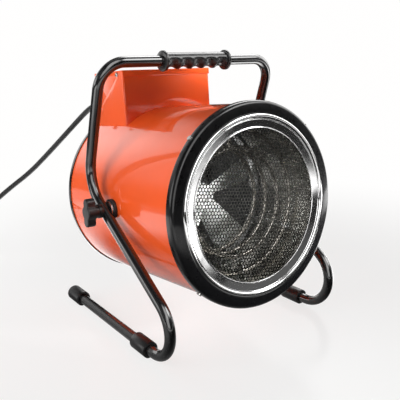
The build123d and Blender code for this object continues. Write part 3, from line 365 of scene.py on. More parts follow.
def wire(bm: BMesh, points: Iterable[Sequence[float]]) -> list[bmesh.types.BMVert]:
    """Draw a chain of edges through points and return its vertices."""
    verts = [bm.verts.new(p) for p in points]
    for a, b in zip(verts, verts[1:]):
        bm.edges.new((a, b))
    return verts


def spin_round(bm: BMesh, axis: Point, steps: int) -> None:
    """Spin all that is drawn so far once round.

    Args:
        bm: What is drawn.
        axis: Direction of the axis, through the origin.
        steps: Faces round it.
    """
    bmesh.ops.spin(bm, geom=bm.edges[:] + bm.verts[:], cent=(0.0, 0.0, 0.0), axis=axis,
                   dvec=(0.0, 0.0, 0.0), angle=math.tau, steps=steps, use_merge=True)
    bmesh.ops.remove_doubles(bm, verts=bm.verts, dist=1e-6)


def sheet_metal(bm: BMesh, thickness: float) -> None:
    """Give an open skin the wall of a sheet, with its normals made even first."""
    bmesh.ops.recalc_face_normals(bm, faces=bm.faces)
    bmesh.ops.solidify(bm, geom=bm.faces[:], thickness=thickness)


def soften(bm: BMesh, width: float) -> None:
    """Bevel every edge where the surface turns by much.

    Args:
        bm: The shape.
        width: Width of the bevel.
    """
    least = math.radians(40.0)
    edges = [e for e in bm.edges if len(e.link_faces) == 2 and e.calc_face_angle(0.0) > least]
    bmesh.ops.bevel(bm, geom=edges, offset=width, offset_type="OFFSET", segments=2,
                    profile=0.5, affect="EDGES", clamp_overlap=True, material=-1)


class TubeWalk:
    """Draws a round tube by walking along its line, straight or round an arc.

    Attributes:
        bm: The tube's mesh.
        here: Where the tube ends so far.
        heading: The way that it leaves there.
        loop: The edges round that end.
    """

    def __init__(self, start: Sequence[float], heading: Sequence[float], radius: float,
                 sides: int = 20) -> None:
        """Start a tube with its end face.

        Args:
            start: Middle of that face.
            heading: The way that the tube leaves.
            radius: Radius of the tube.
            sides: Sides of its section.
        """
        self.bm = bmesh.new()
        self.here = Vector(start)
        self.heading = Vector(heading).normalized()
        turn = self.heading.to_track_quat("Z", "X").to_matrix().to_4x4()
        made = bmesh.ops.create_circle(self.bm, cap_ends=True, cap_tris=False, segments=sides,
                                       radius=radius, matrix=Matrix.Translation(self.here) @ turn)
        self.loop = edges_of(made["verts"])

    def line_to(self, point: Sequence[float]) -> None:
        """Run straight on.

        Args:
            point: Where the straight ends.
        """
        step = Vector(point) - self.here
        made = bmesh.ops.extrude_edge_only(self.bm, edges=self.loop)
        verts = only(bmesh.types.BMVert, made["geom"])
        bmesh.ops.translate(self.bm, verts=verts, vec=step)
        edges = only(bmesh.types.BMEdge, made["geom"])
        self.loop = [edge for edge in edges if all(v in verts for v in edge.verts)]
        self.here = Vector(point)

    def arc_to(self, point: Sequence[float], per_turn: int = 64) -> None:
        """Bend round to a point on the arc that leaves along the heading.

        Args:
            point: Where the arc ends.
            per_turn: Steps in a whole turn.
        """
        target = Vector(point)
        chord = target - self.here
        along = chord.dot(self.heading)
        side = chord - self.heading * along
        reach = side.length
        side.normalize()
        radius = chord.length_squared / (2.0 * reach)
        axis = self.heading.cross(side)
        angle = 2.0 * math.atan2(reach, along)
        steps = max(2, round(per_turn * angle / math.tau))
        verts = list({v for e in self.loop for v in e.verts})
        made = bmesh.ops.spin(self.bm, geom=self.loop + verts, cent=self.here + side * radius,
                              axis=axis, dvec=(0.0, 0.0, 0.0), angle=angle, steps=steps)
        self.loop = only(bmesh.types.BMEdge, made["geom_last"])
        self.heading = Matrix.Rotation(angle, 3, axis) @ self.heading
        self.here = target

    def corners(self, points: Sequence[Vector], radii: Sequence[float]) -> None:
        """Walk a chain of corners, each rounded by its radius, to the last point.

        Args:
            points: The corners and, last, the end.
            radii: One radius for each corner.
        """
        for corner, beyond, radius in zip(points, points[1:], radii):
            into = (corner - self.here).normalized()
            out = (beyond - corner).normalized()
            cut = radius * math.tan(into.angle(out) / 2.0)
            self.line_to(corner - into * cut)
            self.heading = into
            self.arc_to(corner + out * cut)
        self.line_to(points[-1])

    def cap(self) -> BMesh:
        """Close the far end and return the finished mesh."""
        bmesh.ops.holes_fill(self.bm, edges=self.loop, sides=0)
        bmesh.ops.remove_doubles(self.bm, verts=self.bm.verts, dist=1e-6)
        return self.bm


@dataclass
class SubAssembly:
    frame: dict

    def smooth(
        self, node: str, finish: Finish, body: Body, bevel: float = 0.0, crease: float = 32.0
    ) -> bpy.types.Object:
        """Stand a merged, smooth-shaded and softened copy in for a CAD node.

        Args:
            node: Name of the node.
            finish: Its finish.
            body: The body that it rides on.
            bevel: Width by which its edges are softened.
            crease: Edges sharper than this many degrees stay sharp.

        Returns:
            The new object.
        """
        bm = bmesh.new()
        bm.from_mesh(self.frame["nodes"][node].data)
        bmesh.ops.remove_doubles(bm, verts=bm.verts, dist=2e-6)
        bmesh.ops.dissolve_limit(bm, angle_limit=math.radians(0.6), verts=bm.verts,
                                 edges=bm.edges, use_dissolve_boundaries=False)
        if bevel > 0.0:
            soften(bm, bevel)
        return finish_piece(f"{node}_finished", bm, finish, body, crease=crease, outward=False,
                            replaces=[node])

    def dress(self, body: Body, pieces: dict[str, Finish], bevel: float = 0.0) -> None:
        """Stand softened copies in for several CAD nodes of one body.

        Args:
            body: The body that they ride on.
            pieces: The finish of each node.
            bevel: Width by which their edges are softened.
        """
        for node, finish in pieces.items():
            self.smooth(node, finish, body, bevel)


@dataclass(frozen=True)
class Pressing:
    """A ring of sheet metal, turned about the drum's axis.

    Each corner of the profile has a radius, a place forward and a rounding, which is how far
    along its edges it is cut back, 0 for a sharp one. Edges sharper than crease, in degrees,
    stay sharp. The nodes are the CAD nodes that it stands for.
    """

    name: str
    nodes: tuple[str, ...]
    finish: Finish
    wall: float
    profile: tuple[Point, ...]
    steps: int = 192
    rounding: int = 4
    crease: float = 32.0

    def shape(self) -> BMesh:
        """Turn the section and give it its wall.

        Returns:
            The sheet, in the drum's frame.
        """
        bm = bmesh.new()
        verts = wire(bm, [(0.0, -forward, radius) for radius, forward, _ in self.profile])
        for vert, (_, _, cut) in zip(verts, self.profile):
            if cut > 0.0:
                bmesh.ops.bevel(bm, geom=[vert], offset=cut, offset_type="OFFSET",
                                segments=self.rounding, profile=0.5, affect="VERTICES",
                                material=-1)
        spin_round(bm, (0.0, 1.0, 0.0), self.steps)
        sheet_metal(bm, self.wall)
        return bm

    def build(self, bm: BMesh | None = None) -> bpy.types.Object:
        """Return the finished piece, from its own shape or from one made of it."""
        return finish_piece(self.name, bm or self.shape(), self.finish, Body.DRUM, lean=True,
                            crease=self.crease, replaces=self.nodes)


# --- camera, floor and light
@dataclass(frozen=True)
class Glow:
    """A soft bright patch that only glossy surfaces see.

    Its turn is a bearing in degrees, from straight behind the heater towards its right. Its
    reach is its height on the backdrop or its distance on the floor; size and fade are the radii
    of its even middle and of its end. These are degrees on the backdrop, metres on the floor.
    """

    name: str
    turn: float
    reach: float
    size: float
    fade: float
    strength: float

    def patch(self, tree: Tree, near: Socket, start: float, end: float) -> Socket:
        """Return its brightness, which grows while nearness runs from start to end."""
        patch = mapped(tree, near, start, end, 0.0, self.strength, "SMOOTHSTEP")
        patch.node.name = self.name
        return patch

    def on_floor(self, tree: Tree, point: Socket) -> Socket:
        """Shine on the floor.

        Args:
            tree: The floor's node tree.
            point: The point of the floor.

        Returns:
            The brightness there.
        """
        turn = math.radians(self.turn)
        spot = (self.reach * math.sin(turn), self.reach * math.cos(turn), 0.0)
        near = vector_maths(tree, "DISTANCE", point, spot)
        return self.patch(tree, near, self.fade, self.size)

    def on_backdrop(self, tree: Tree, way: Socket) -> Socket:
        """Shine from the backdrop.

        Args:
            tree: The world's node tree.
            way: The direction that is looked in.

        Returns:
            The brightness there.
        """
        turn, rise = math.radians(self.turn), math.radians(self.reach)
        flat = math.cos(rise)
        middle = (math.sin(turn) * flat, math.cos(turn) * flat, math.sin(rise))
        near = vector_maths(tree, "DOT_PRODUCT", way, middle)
        start, end = math.cos(math.radians(self.fade)), math.cos(math.radians(self.size))
        return self.patch(tree, near, start, end)


@dataclass(frozen=True)
class SoftBox:
    """A soft lamp that lights but isn't mirrored; the glows stand for it in gloss.

    The spread is the full angle of its beam in degrees; aim is the point it is turned towards.
    """

    name: str
    place: Point
    width: float
    height: float
    radiance: float
    spread: float = 180.0
    aim: Point = (0.0, 0.0, 0.2)


@dataclass
class Studio:
    """Plain pale floor, soft lights and the camera.

    The focal length is in pixels of the picture. Between near_floor and far_floor the floor
    runs out into white; lift is how white the near floor is of itself, which keeps its shadows
    faint. Fill is even light from all round, gloom what gloss sees where there is no glow.
    """

    eye: Point = (-0.55942, -0.77244, 0.43953)
    gaze: Point = (0.5794, 0.7735, -0.2566)
    focal: float = 596.42
    picture: float = 400.0
    near_floor: float = 0.35
    far_floor: float = 1.1
    lift: float = 0.77
    fill: float = 0.09
    gloom: float = 0.022
    white: tuple[float, ...] = (1.0, 0.995, 0.99, 1.0)
    floor_colour: tuple[float, ...] = (0.90, 0.885, 0.88, 1.0)
    floor_radius: float = 30.0
    floor_roughness: float = 0.22
    floor_specular: float = 0.45
    backdrop: tuple[Glow, ...] = (
        Glow("right_strip", 90.0, 25.0, 12.0, 32.0, 2.9),
        Glow("behind", 0.0, 10.0, 10.0, 26.0, 1.64),
        Glow("behind_left", 335.0, 24.0, 10.0, 24.0, 0.46),
        Glow("far_left", 300.0, 5.0, 9.0, 24.0, 2.7),
        Glow("left", 265.0, 25.0, 12.0, 32.0, 0.16),
        Glow("eye_side", 208.0, 12.0, 12.0, 28.0, 2.3),
        Glow("front_high", 192.0, 46.0, 12.0, 28.0, 3.0),
        Glow("front_right", 138.0, 5.0, 10.0, 25.0, 0.08),
        Glow("high_right", 50.0, 41.0, 8.0, 19.0, 6.0),
        Glow("front_right_high", 135.0, 40.0, 8.0, 18.0, 7.0),
        Glow("overhead", 0.0, 75.0, 15.0, 32.0, 0.26),
    )
    floor_shine: tuple[Glow, ...] = (
        Glow("floor_under", 0.0, 0.0, 0.12, 0.28, 0.36),
        Glow("floor_right_near", 90.0, 0.42, 0.12, 0.26, 4.2),
        Glow("floor_right_front", 122.0, 1.5, 0.24, 0.46, 2.4),
        Glow("floor_right_far", 108.0, 1.6, 0.3, 0.7, 4.0),
        Glow("floor_behind_near", 0.0, 0.42, 0.12, 0.26, 2.8),
        Glow("floor_behind", 350.0, 1.3, 0.4, 0.9, 0.75),
        Glow("floor_left_behind", 305.0, 0.7, 0.2, 0.45, 1.4),
        Glow("floor_left", 265.0, 0.8, 0.15, 0.36, 0.9),
        Glow("floor_left_far", 265.0, 1.6, 0.35, 0.8, 2.3),
        Glow("floor_eye_side", 215.0, 1.2, 0.35, 0.7, 1.2),
        Glow("floor_front", 178.0, 1.3, 0.3, 0.6, 1.05),
        Glow("floor_front_far", 144.0, 2.2, 0.32, 0.66, 2.2),
        Glow("floor_near_left", 250.0, 0.45, 0.12, 0.26, 0.45),
    )
    softboxes: tuple[SoftBox, ...] = (
        SoftBox("left", (-2.0, 0.1, 0.9), 1.4, 1.4, 4.7),
        SoftBox("behind_left", (-0.8, 1.5, 0.72), 1.15, 0.8, 4.1),
        SoftBox("right", (1.9, 0.2, 0.7), 1.2, 1.2, 0.9),
        SoftBox("low_left", (-1.3, -0.5, 0.25), 0.5, 0.45, 1.5),
        SoftBox("kicker", (0.19, -0.06, 0.46), 0.07, 0.07, 3.0, 36.0, (0.09, 0.045, 0.385)),
        SoftBox("outlet", (0.26, -0.64, 0.31), 0.16, 0.12, 9.5, 26.0, (0.0, -0.1, 0.16)),
        SoftBox("overhead", (0.2, 0.6, 2.1), 1.4, 1.2, 0.2),
    )

    def build(self) -> None:
        """Set up everything that isn't the heater."""
        self.camera()
        self.world()
        self.floor()
        for box in self.softboxes:
            self.lamp(box)
        bpy.context.scene.view_settings.view_transform = "Standard"

    def camera(self) -> None:
        """Place the camera as the photograph's."""
        lens = bpy.data.cameras.new("camera")
        lens.sensor_width = 36.0
        lens.lens = self.focal / self.picture * lens.sensor_width
        lens.clip_end = 100.0
        eye = new_object("camera", lens)
        eye.location = self.eye
        eye.rotation_euler = Vector(self.gaze).to_track_quat("-Z", "Y").to_euler()
        bpy.context.scene.camera = eye

    def world(self) -> None:
        """White to the eye, glows in a dim room to gloss, and an even fill to the rest."""
        world = bpy.data.worlds.new("studio")
        bpy.context.scene.world = world
        world.use_nodes = True
        tree = world.node_tree
        back = tree.nodes["Background"]
        back.inputs["Color"].default_value = self.white
        way = tree.nodes.new("ShaderNodeTexCoord").outputs["Generated"]
        path = tree.nodes.new("ShaderNodeLightPath").outputs
        glossy = path["Is Glossy Ray"]
        seen = maths(tree, "MAXIMUM", path["Is Camera Ray"], path["Is Transmission Ray"])
        glows = self.glow_sum(tree, [glow.on_backdrop(tree, way) for glow in self.backdrop])
        shine = maths(tree, "MULTIPLY", glows, glossy)
        plain = maths(tree, "SUBTRACT", 1.0, maths(tree, "MAXIMUM", glossy, seen))
        fill = maths(tree, "MULTIPLY", plain, self.fill)
        total = maths(tree, "ADD", maths(tree, "ADD", shine, fill), seen)
        tree.links.new(total, back.inputs["Strength"])

    def floor(self) -> None:
        """A wide pale floor, a little glossy, that runs out into the white backdrop."""
        bm = bmesh.new()
        bmesh.ops.create_circle(bm, cap_ends=True, cap_tris=False, segments=96,
                                radius=self.floor_radius)
        mesh = mesh_of("floor", bm)
        paint = bpy.data.materials.new("floor")
        paint.use_nodes = True
        tree = paint.node_tree
        shader = tree.nodes["Principled BSDF"]
        shader.inputs["Base Color"].default_value = self.floor_colour
        shader.inputs["Roughness"].default_value = self.floor_roughness
        shader.inputs["Specular IOR Level"].default_value = self.floor_specular
        place = tree.nodes.new("ShaderNodeTexCoord").outputs["Object"]
        path = tree.nodes.new("ShaderNodeLightPath").outputs
        reach = vector_maths(tree, "LENGTH", place)
        away = mapped(tree, reach, self.near_floor, self.far_floor, self.lift, 1.0, "SMOOTHSTEP")
        white = maths(tree, "MULTIPLY", away, path["Is Camera Ray"])
        eye = self.mixed(tree, white, shader.outputs["BSDF"], self.light(tree, 1.0))
        glows = self.glow_sum(tree, [glow.on_floor(tree, place) for glow in self.floor_shine])
        shine = self.light(tree, glows)
        both = self.mixed(tree, path["Is Glossy Ray"], eye, shine)
        tree.links.new(both, tree.nodes["Material Output"].inputs["Surface"])
        mesh.materials.append(paint)
        new_object("floor", mesh)

    def glow_sum(self, tree: Tree, patches: Iterable[Socket]) -> Socket:
        """Add up what gloss sees.

        Args:
            tree: The node tree.
            patches: Brightness of each glow.

        Returns:
            The sum of the gloom and the glows.
        """
        total: float | Socket = self.gloom
        for patch in patches:
            total = maths(tree, "ADD", total, patch)
        return total

    def light(self, tree: Tree, strength: float | Socket) -> Socket:
        """Return a white glow of a strength."""
        inputs = {"Color": self.white, "Strength": strength}
        return add_node(tree, "Emission", inputs).outputs["Emission"]

    @staticmethod
    def mixed(tree: Tree, share: Socket, first: Socket, second: Socket) -> Socket:
        """Return a mix of two shaders."""
        inputs = {"Fac": share, 1: first, 2: second}
        return add_node(tree, "MixShader", inputs).outputs["Shader"]

    @staticmethod
    def lamp(box: SoftBox) -> None:
        """Hang a lamp, turned towards its point.

        Args:
            box: What it is like and where it hangs.
        """
        light = bpy.data.lights.new(box.name, "AREA")
        light.shape = "RECTANGLE"
        light.size = box.width
        light.size_y = box.height
        light.spread = math.radians(box.spread)
        light.energy = box.radiance * math.pi * box.width * box.height
        lamp = new_object(box.name, light)
        lamp.location = box.place
        lamp.visible_camera = False
        lamp.visible_glossy = False
        way = Vector(box.aim) - Vector(box.place)
        lamp.rotation_euler = way.to_track_quat("-Z", "Y").to_euler()


# --- supply cord
@dataclass
class SupplyCord(SubAssembly):
    """The rubber cord, from the gland over the floor to its coil and plug.

    It leaves the drum at its gland, straight back for its stub, and then follows the route, with
    Y counted from the pivot, down to the floor; touchdown, where it comes down, is not used. Each
    layer of the coil has half_turns half turns, gap apart, of so many steps. The plug's axis is
    at plug_height.
    """

    diameter: float = 0.0095
    gap: float = 0.0006
    coil_radius: float = 0.0559
    half_turns: int = 4
    steps: int = 8
    gland: Point = (-0.058, -0.166, 0.154)
    stub: float = 0.022
    plug_height: float = 0.0185
    plug_bevel: float = 0.0006
    touchdown: Point = (-0.33, 0.552, 0.005)
    route: tuple[Point, ...] = (
        (-0.0569, 0.2400, 0.3211),
        (-0.0837, 0.2850, 0.2722),
        (-0.1073, 0.3280, 0.2274),
        (-0.1333, 0.3620, 0.1874),
        (-0.1654, 0.3930, 0.1542),
        (-0.2020, 0.4200, 0.1160),
        (-0.2400, 0.4440, 0.0740),
        (-0.2760, 0.4700, 0.0380),
        (-0.3080, 0.5050, 0.0130),
        (-0.3300, 0.5520, 0.00475),
        (-0.3417, 0.5970, 0.00475),
    )

    def line(self) -> list[Vector]:
        """Lead the cord out of its gland, down to the floor, round its coil and to its plug.

        Returns:
            The control points of its curve.
        """
        start = drum_point(*self.gland)
        points = [start, start + drum_way(0.0, -self.stub, 0.0)]
        points += [Vector((x, PIVOT.y + y, z)) for x, y, z in self.route]
        heading = (points[-1] - points[-2]).normalized()
        side = heading.cross(Vector((0.0, 0.0, 1.0)))
        pitch = self.diameter + self.gap
        here = points[-1]
        inwards = [self.coil_radius - n * pitch / 2.0 for n in range(self.half_turns)]
        climb = self.coil_radius - self.half_turns * pitch / 2.0
        step = math.pi / self.steps
        for radius in [*inwards, climb, *reversed(inwards)]:
            rise = pitch if radius == climb else 0.0
            middle = here + side * radius
            outer = radius / math.cos(step / 2.0)
            for angle in (step * (n + 0.5) for n in range(self.steps)):
                lift = Vector((0.0, 0.0, rise * (1.0 - math.cos(angle)) / 2.0))
                round_it = heading * math.sin(angle) - side * math.cos(angle)
                points.append(middle + round_it * outer + lift)
            here = here + side * 2.0 * radius + Vector((0.0, 0.0, rise))
            side, heading = -side, -heading
        to_plug = Vector((0.0, 0.0, self.plug_height - self.diameter / 2.0 - pitch))
        for diameters, lift in ((1.0, Vector()), (3.0, to_plug), (5.0, to_plug)):
            points.append(here + heading * self.diameter * diameters + lift)
        return points

    def build(self) -> None:
        """Lay the cord and join it to its plug."""
        curve = bpy.data.curves.new("cord_line", "CURVE")
        curve.dimensions = "3D"
        curve.resolution_u = 6
        spline = curve.splines.new("NURBS")
        points = self.line()
        spline.points.add(len(points) - 1)
        for knot, point in zip(spline.points, points):
            knot.co = (*point, 1.0)
        spline.order_u = 3
        spline.use_endpoint_u = True
        guide = new_object("cord_line", curve)
        path = [v.co.copy() for v in self.evaluated(guide).vertices]
        curve.bevel_depth = self.diameter / 2.0
        curve.bevel_resolution = 5
        curve.use_fill_caps = True
        mesh = self.evaluated(guide)
        bpy.data.objects.remove(guide)
        mesh.name = "supply_cord"
        mesh.shade_smooth()
        mesh.materials.clear()
        mesh.materials.append(SHEATHING.material())
        cord = new_object("supply_cord", mesh)
        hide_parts("cord_run", "cord_coil")
        plug = self.smooth("mains_plug", SHEATHING, Body.STAND, self.plug_bevel)
        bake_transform(cord)

    @staticmethod
    def evaluated(guide: bpy.types.Object) -> bpy.types.Mesh:
        """Return a curve's mesh as it stands."""
        graph = bpy.context.evaluated_depsgraph_get()
        return bpy.data.meshes.new_from_object(guide.evaluated_get(graph))


# --- drum
@dataclass
class DrumShell(SubAssembly):
    """The drum's skin and its outlet end: casing, trims, polished ring and mesh."""

    casing: Pressing = Pressing("drum_casing", ("casing",), ORANGE, 0.001,
                                ((0.1455, -0.151, 0.0), (0.1455, 0.1602, 0.0)))
    rear_trim: Pressing = Pressing(
        "drum_rear_trim", ("rear_edge_trim",), BEZEL_BLACK, 0.0012,
        ((0.1429, -0.1455, 0.0), (0.1429, -0.1525, 0.0008), (0.1471, -0.1525, 0.0012),
         (0.1471, -0.1455, 0.0)),
    )
    # Skirt, crowned face and the lip in its bore.
    bezel: Pressing = Pressing(
        "outlet_bezel", ("front_bezel",), BEZEL_BLACK, 0.0012,
        ((0.1457, 0.1520, 0.0), (0.1500, 0.1520, 0.0012), (0.1500, 0.1654, 0.0052),
         (0.1320, 0.1675, 0.0014), (0.1320, 0.1625, 0.0)),
        rounding=6,
    )
    # Bead, dished band and the hem round the mesh.
    ring: Pressing = Pressing(
        "outlet_ring", ("trim_ring",), POLISHED, 0.0005,
        ((0.1319, 0.1624, 0.0), (0.1319, 0.1689, 0.0034), (0.1246, 0.1689, 0.0034),
         (0.1243, 0.1654, 0.0004), (0.1236, 0.1654, 0.0004), (0.1232, 0.1660, 0.0004),
         (0.1131, 0.1633, 0.0003), (0.1122, 0.1648, 0.0005), (0.1111, 0.1648, 0.0005),
         (0.1108, 0.1630, 0.0)),
        rounding=6, crease=50.0,
    )

    def build(self) -> None:
        """Make the pressings and the mesh, and dress the screws."""
        self.roll_casing()
        self.rear_trim.build()
        self.bezel.build()
        self.ring.build()
        OutletMesh().build()
        self.dress(Body.DRUM, {"bezel_screws": SCREW_ZINC})

    def roll_casing(self) -> None:
        """Roll the casing's sheet: orange outside, near-black painted shade inside."""
        bm = self.casing.shape()
        middle = self.casing.profile[0][0] - self.casing.wall / 2.0
        # Faces on the inner side of the wall take the second material, the painted shade.
        for face in bm.faces:
            centre = face.calc_center_median()
            face.material_index = int(math.hypot(centre.x, centre.z) < middle)
        self.casing.build(bm).data.materials.append(DRUM_INSIDE_SHADE.material())


@dataclass
class OutletMesh:
    """The perforated sheet of the outlet.

    Its rows are turned by turn degrees, its last holes lie at reach from the axis, and place is
    how far forward of the pivots it stands.
    """

    pitch: float = 0.0053
    hole: float = 0.0022
    turn: float = -8.3
    reach: float = 0.1175
    place: float = 0.1622
    wall: float = 0.0005
    rim: Pressing = Pressing("outlet_mesh_rim", (), MESH_STEEL, 0.0003,
                             ((0.1318, 0.1612, 0.0), (0.1150, 0.1612, 0.0)), steps=96)

    def cell(self) -> BMesh:
        """Draw one cell of the perforation.

        Returns:
            A hexagon with a round hole.
        """
        bm = bmesh.new()
        outer = bmesh.ops.create_circle(bm, cap_ends=False, segments=6,
                                        radius=self.pitch / math.sqrt(3.0))
        bmesh.ops.subdivide_edges(bm, edges=edges_of(outer["verts"]), cuts=1)
        rim = bm.edges[:]
        hole = bmesh.ops.create_circle(bm, cap_ends=False, segments=12, radius=self.hole)
        bmesh.ops.bridge_loops(bm, edges=rim + edges_of(hole["verts"]))
        return bm

    def build(self) -> None:
        """Punch the mesh, cell by cell, give it its wall and set it in its rim."""
        bm = self.cell()
        pattern = bm.verts[:] + bm.edges[:] + bm.faces[:]
        row_step = self.pitch * math.sqrt(3.0) / 2.0
        rows = int(self.reach / row_step) + 1
        for row in range(-rows, rows + 1):
            shift = 0.5 * (row % 2)
            for column in range(-rows - 2, rows + 3):
                spot = Vector((self.pitch * (column + shift), row_step * row, 0.0))
                if spot.length > self.reach or (row == 0 and column == 0):
                    continue
                made = bmesh.ops.duplicate(bm, geom=pattern)["geom"]
                bmesh.ops.translate(bm, verts=only(bmesh.types.BMVert, made), vec=spot)
        bmesh.ops.remove_doubles(bm, verts=bm.verts, dist=1e-5)
        upright = Matrix.Rotation(math.pi / 2.0, 4, "X")
        turn = Matrix.Rotation(math.radians(self.turn), 4, "Z")
        place = Matrix.Translation((0.0, -self.place, 0.0)) @ upright @ turn
        bmesh.ops.transform(bm, matrix=place, verts=bm.verts)
        sheet_metal(bm, self.wall)
        finish_piece("outlet_mesh", bm, MESH_STEEL, Body.DRUM, lean=True,
                     replaces=["outlet_grille"])
        self.rim.build()


# --- heating duct
@dataclass
class HeatingDuct(SubAssembly):
    """The bright liner and the tubular elements inside it.

    The front element winds at both the outer and the inner radius, the others at the inner one.
    Legs stand at spread from the middle, the front one's first leg at front_leg; they reach up
    to leg_top and run into their turns by a bend.
    The front element steps back between the angles step_start and step_end of its inner turn,
    from front to behind; these, middle and rear are places forward of the pivots.
    """

    tube: float = 0.0032
    outer: float = 0.108
    inner: float = 0.082
    leg_top: float = 0.1291
    spread: float = 0.012
    front_leg: float = 0.021
    bend: float = 0.011
    front: float = 0.118
    behind: float = 0.1045
    middle: float = 0.091
    rear: float = 0.064
    step_start: float = math.radians(190.0)
    step_end: float = math.radians(150.0)
    liner: Pressing = Pressing("duct_liner", ("liner",), LINER_STEEL, 0.0008,
                               ((0.118, 0.046, 0.0), (0.118, 0.1600, 0.0)), steps=160)

    def build(self) -> None:
        """Make the liner and the elements, and dress the rest."""
        self.liner.build()
        self.front_element()
        self.loop("element_middle", self.middle)
        self.loop("element_rear", self.rear)
        self.dress(Body.DRUM, {
            **{f"element_hanger_{n}": GALVANISED for n in (1, 2, 3)},
            "element_bushings": CERAMIC,
            "element_terminals": BRASS,
            "terminal_plate": GALVANISED,
            "liner_support": GALVANISED,
            "overheat_cutout": GREY_MOULDING,
        })

    @staticmethod
    def on_turn(radius: float, angle: float, place: float) -> Vector:
        """Return a point of a turn; the angle starts at the heater's right."""
        return Vector((radius * math.cos(angle), -place, radius * math.sin(angle)))

    def knee(self, loop: float, spread: float) -> tuple[float, float]:
        """Find the bend between a leg and its loop.

        Args:
            loop: Radius of the loop.
            spread: How far the leg stands from the middle.

        Returns:
            The height where the bend starts and the angle round the loop where it ends.
        """
        reach = spread + self.bend
        height = math.sqrt((loop + self.bend) ** 2 - reach**2)
        return height, math.atan2(height, reach)

    def loop(self, name: str, place: float) -> None:
        """Bend one heating loop with both legs beside each other.

        Args:
            name: The CAD node that it stands for.
            place: Its place forward of the pivots.
        """
        height, angle = self.knee(self.inner, self.spread)
        walk = TubeWalk((self.spread, -place, self.leg_top), (0.0, 0.0, -1.0), self.tube)
        walk.line_to((self.spread, -place, height))
        walk.arc_to(self.on_turn(self.inner, angle, place))
        walk.arc_to((0.0, -place, -self.inner), per_turn=80)
        walk.arc_to(self.on_turn(self.inner, math.pi - angle, place), per_turn=80)
        walk.arc_to((-self.spread, -place, height))
        walk.line_to((-self.spread, -place, self.leg_top))
        finish_piece(f"{name}_tube", walk.cap(), SHEATH, Body.DRUM, lean=True, replaces=[name])

    def front_element(self) -> None:
        """Bend the front element: two flat turns, a step back and the way out."""
        front, behind, leg = self.front, self.behind, self.front_leg
        middle = (self.outer + self.inner) / 2.0
        top = 2.0 * middle - self.outer
        height, angle = self.knee(self.outer, leg)
        last_height, last_angle = self.knee(self.inner, self.spread)
        walk = TubeWalk((leg, -front, self.leg_top), (0.0, 0.0, -1.0), self.tube)
        walk.line_to((leg, -front, height))
        walk.arc_to(self.on_turn(self.outer, angle, front))
        walk.arc_to((0.0, -front, -self.outer), per_turn=96)
        walk.arc_to((0.0, -front, top), per_turn=96)
        walk.arc_to((0.0, -front, -self.inner), per_turn=80)
        walk.arc_to(self.on_turn(self.inner, self.step_start, front), per_turn=80)
        self.step_back(walk, self.step_end, behind)
        walk.arc_to(self.on_turn(self.inner, math.pi - last_angle, behind))
        walk.arc_to((-self.spread, -behind, last_height))
        walk.line_to((-self.spread, -behind, self.leg_top))
        finish_piece("element_front_tube", walk.cap(), SHEATH, Body.DRUM, lean=True,
                     replaces=["element_front"])

    def step_back(self, walk: TubeWalk, angle: float, place: float) -> None:
        """Join two places on the inner turn, one behind the other, by two arcs.

        Args:
            walk: The tube so far.
            angle: Where the step ends, round the loop.
            place: The plane in which it ends.
        """
        end = self.on_turn(self.inner, angle, place)
        arriving = Vector((math.sin(angle), 0.0, -math.cos(angle)))
        leaving = walk.heading
        chord = end - walk.here
        along = chord.dot(leaving + arriving)
        bend = 2.0 * (1.0 - leaving.dot(arriving))
        reach = (math.sqrt(along**2 + bend * chord.length_squared) - along) / bend
        first, last = walk.here + leaving * reach, end - arriving * reach
        walk.arc_to((first + last) / 2.0)
        walk.arc_to(end)
        walk.heading = arriving


# --- fan
@dataclass
class Fan(SubAssembly):
    """The fan with its motor and shroud, and the guard behind them."""

    blade_crease: float = 40.0

    def build(self) -> None:
        """Dress the pieces that turn and the ones that stand."""
        self.smooth("fan_impeller", FAN_METAL, Body.FAN, crease=self.blade_crease)
        self.dress(Body.FAN, {"motor_shaft": ZINC})
        self.dress(Body.DRUM, {
            "motor": MOTOR_BLACK,
            "motor_bracket": GALVANISED,
            "motor_bolts": ZINC,
            "fan_shroud": GALVANISED,
            "rear_guard": MOTOR_BLACK,
        })


# --- control housing
@dataclass
class ControlHousing(SubAssembly):
    """The box on the drum with its lid, panel and controls; the sizes are those of bevels."""

    box: float = 0.0005
    lid: float = 0.0006
    panel: float = 0.0002
    gland: float = 0.0004
    knob: float = 0.0005

    def build(self) -> None:
        """Dress the box, what it holds and its knobs."""
        self.dress(Body.DRUM, {"control_box": ORANGE}, self.box)
        self.dress(Body.DRUM, {"control_lid": ORANGE}, self.lid)
        self.dress(Body.DRUM, {"control_back_panel": ORANGE}, self.panel)
        self.dress(Body.DRUM, {
            "lid_screws": SCREW_ZINC,
            "panel_screws": SCREW_ZINC,
            "heat_switch": MOULDING,
            "thermostat": GREY_MOULDING,
            "terminal_block": GREY_MOULDING,
        })
        self.dress(Body.DRUM, {"cable_gland": MOULDING}, self.gland)
        self.dress(Body.HEAT_CONTROL, {"heat_knob": MOULDING}, self.knob)
        self.dress(Body.THERMOSTAT, {"thermostat_knob": MOULDING}, self.knob)


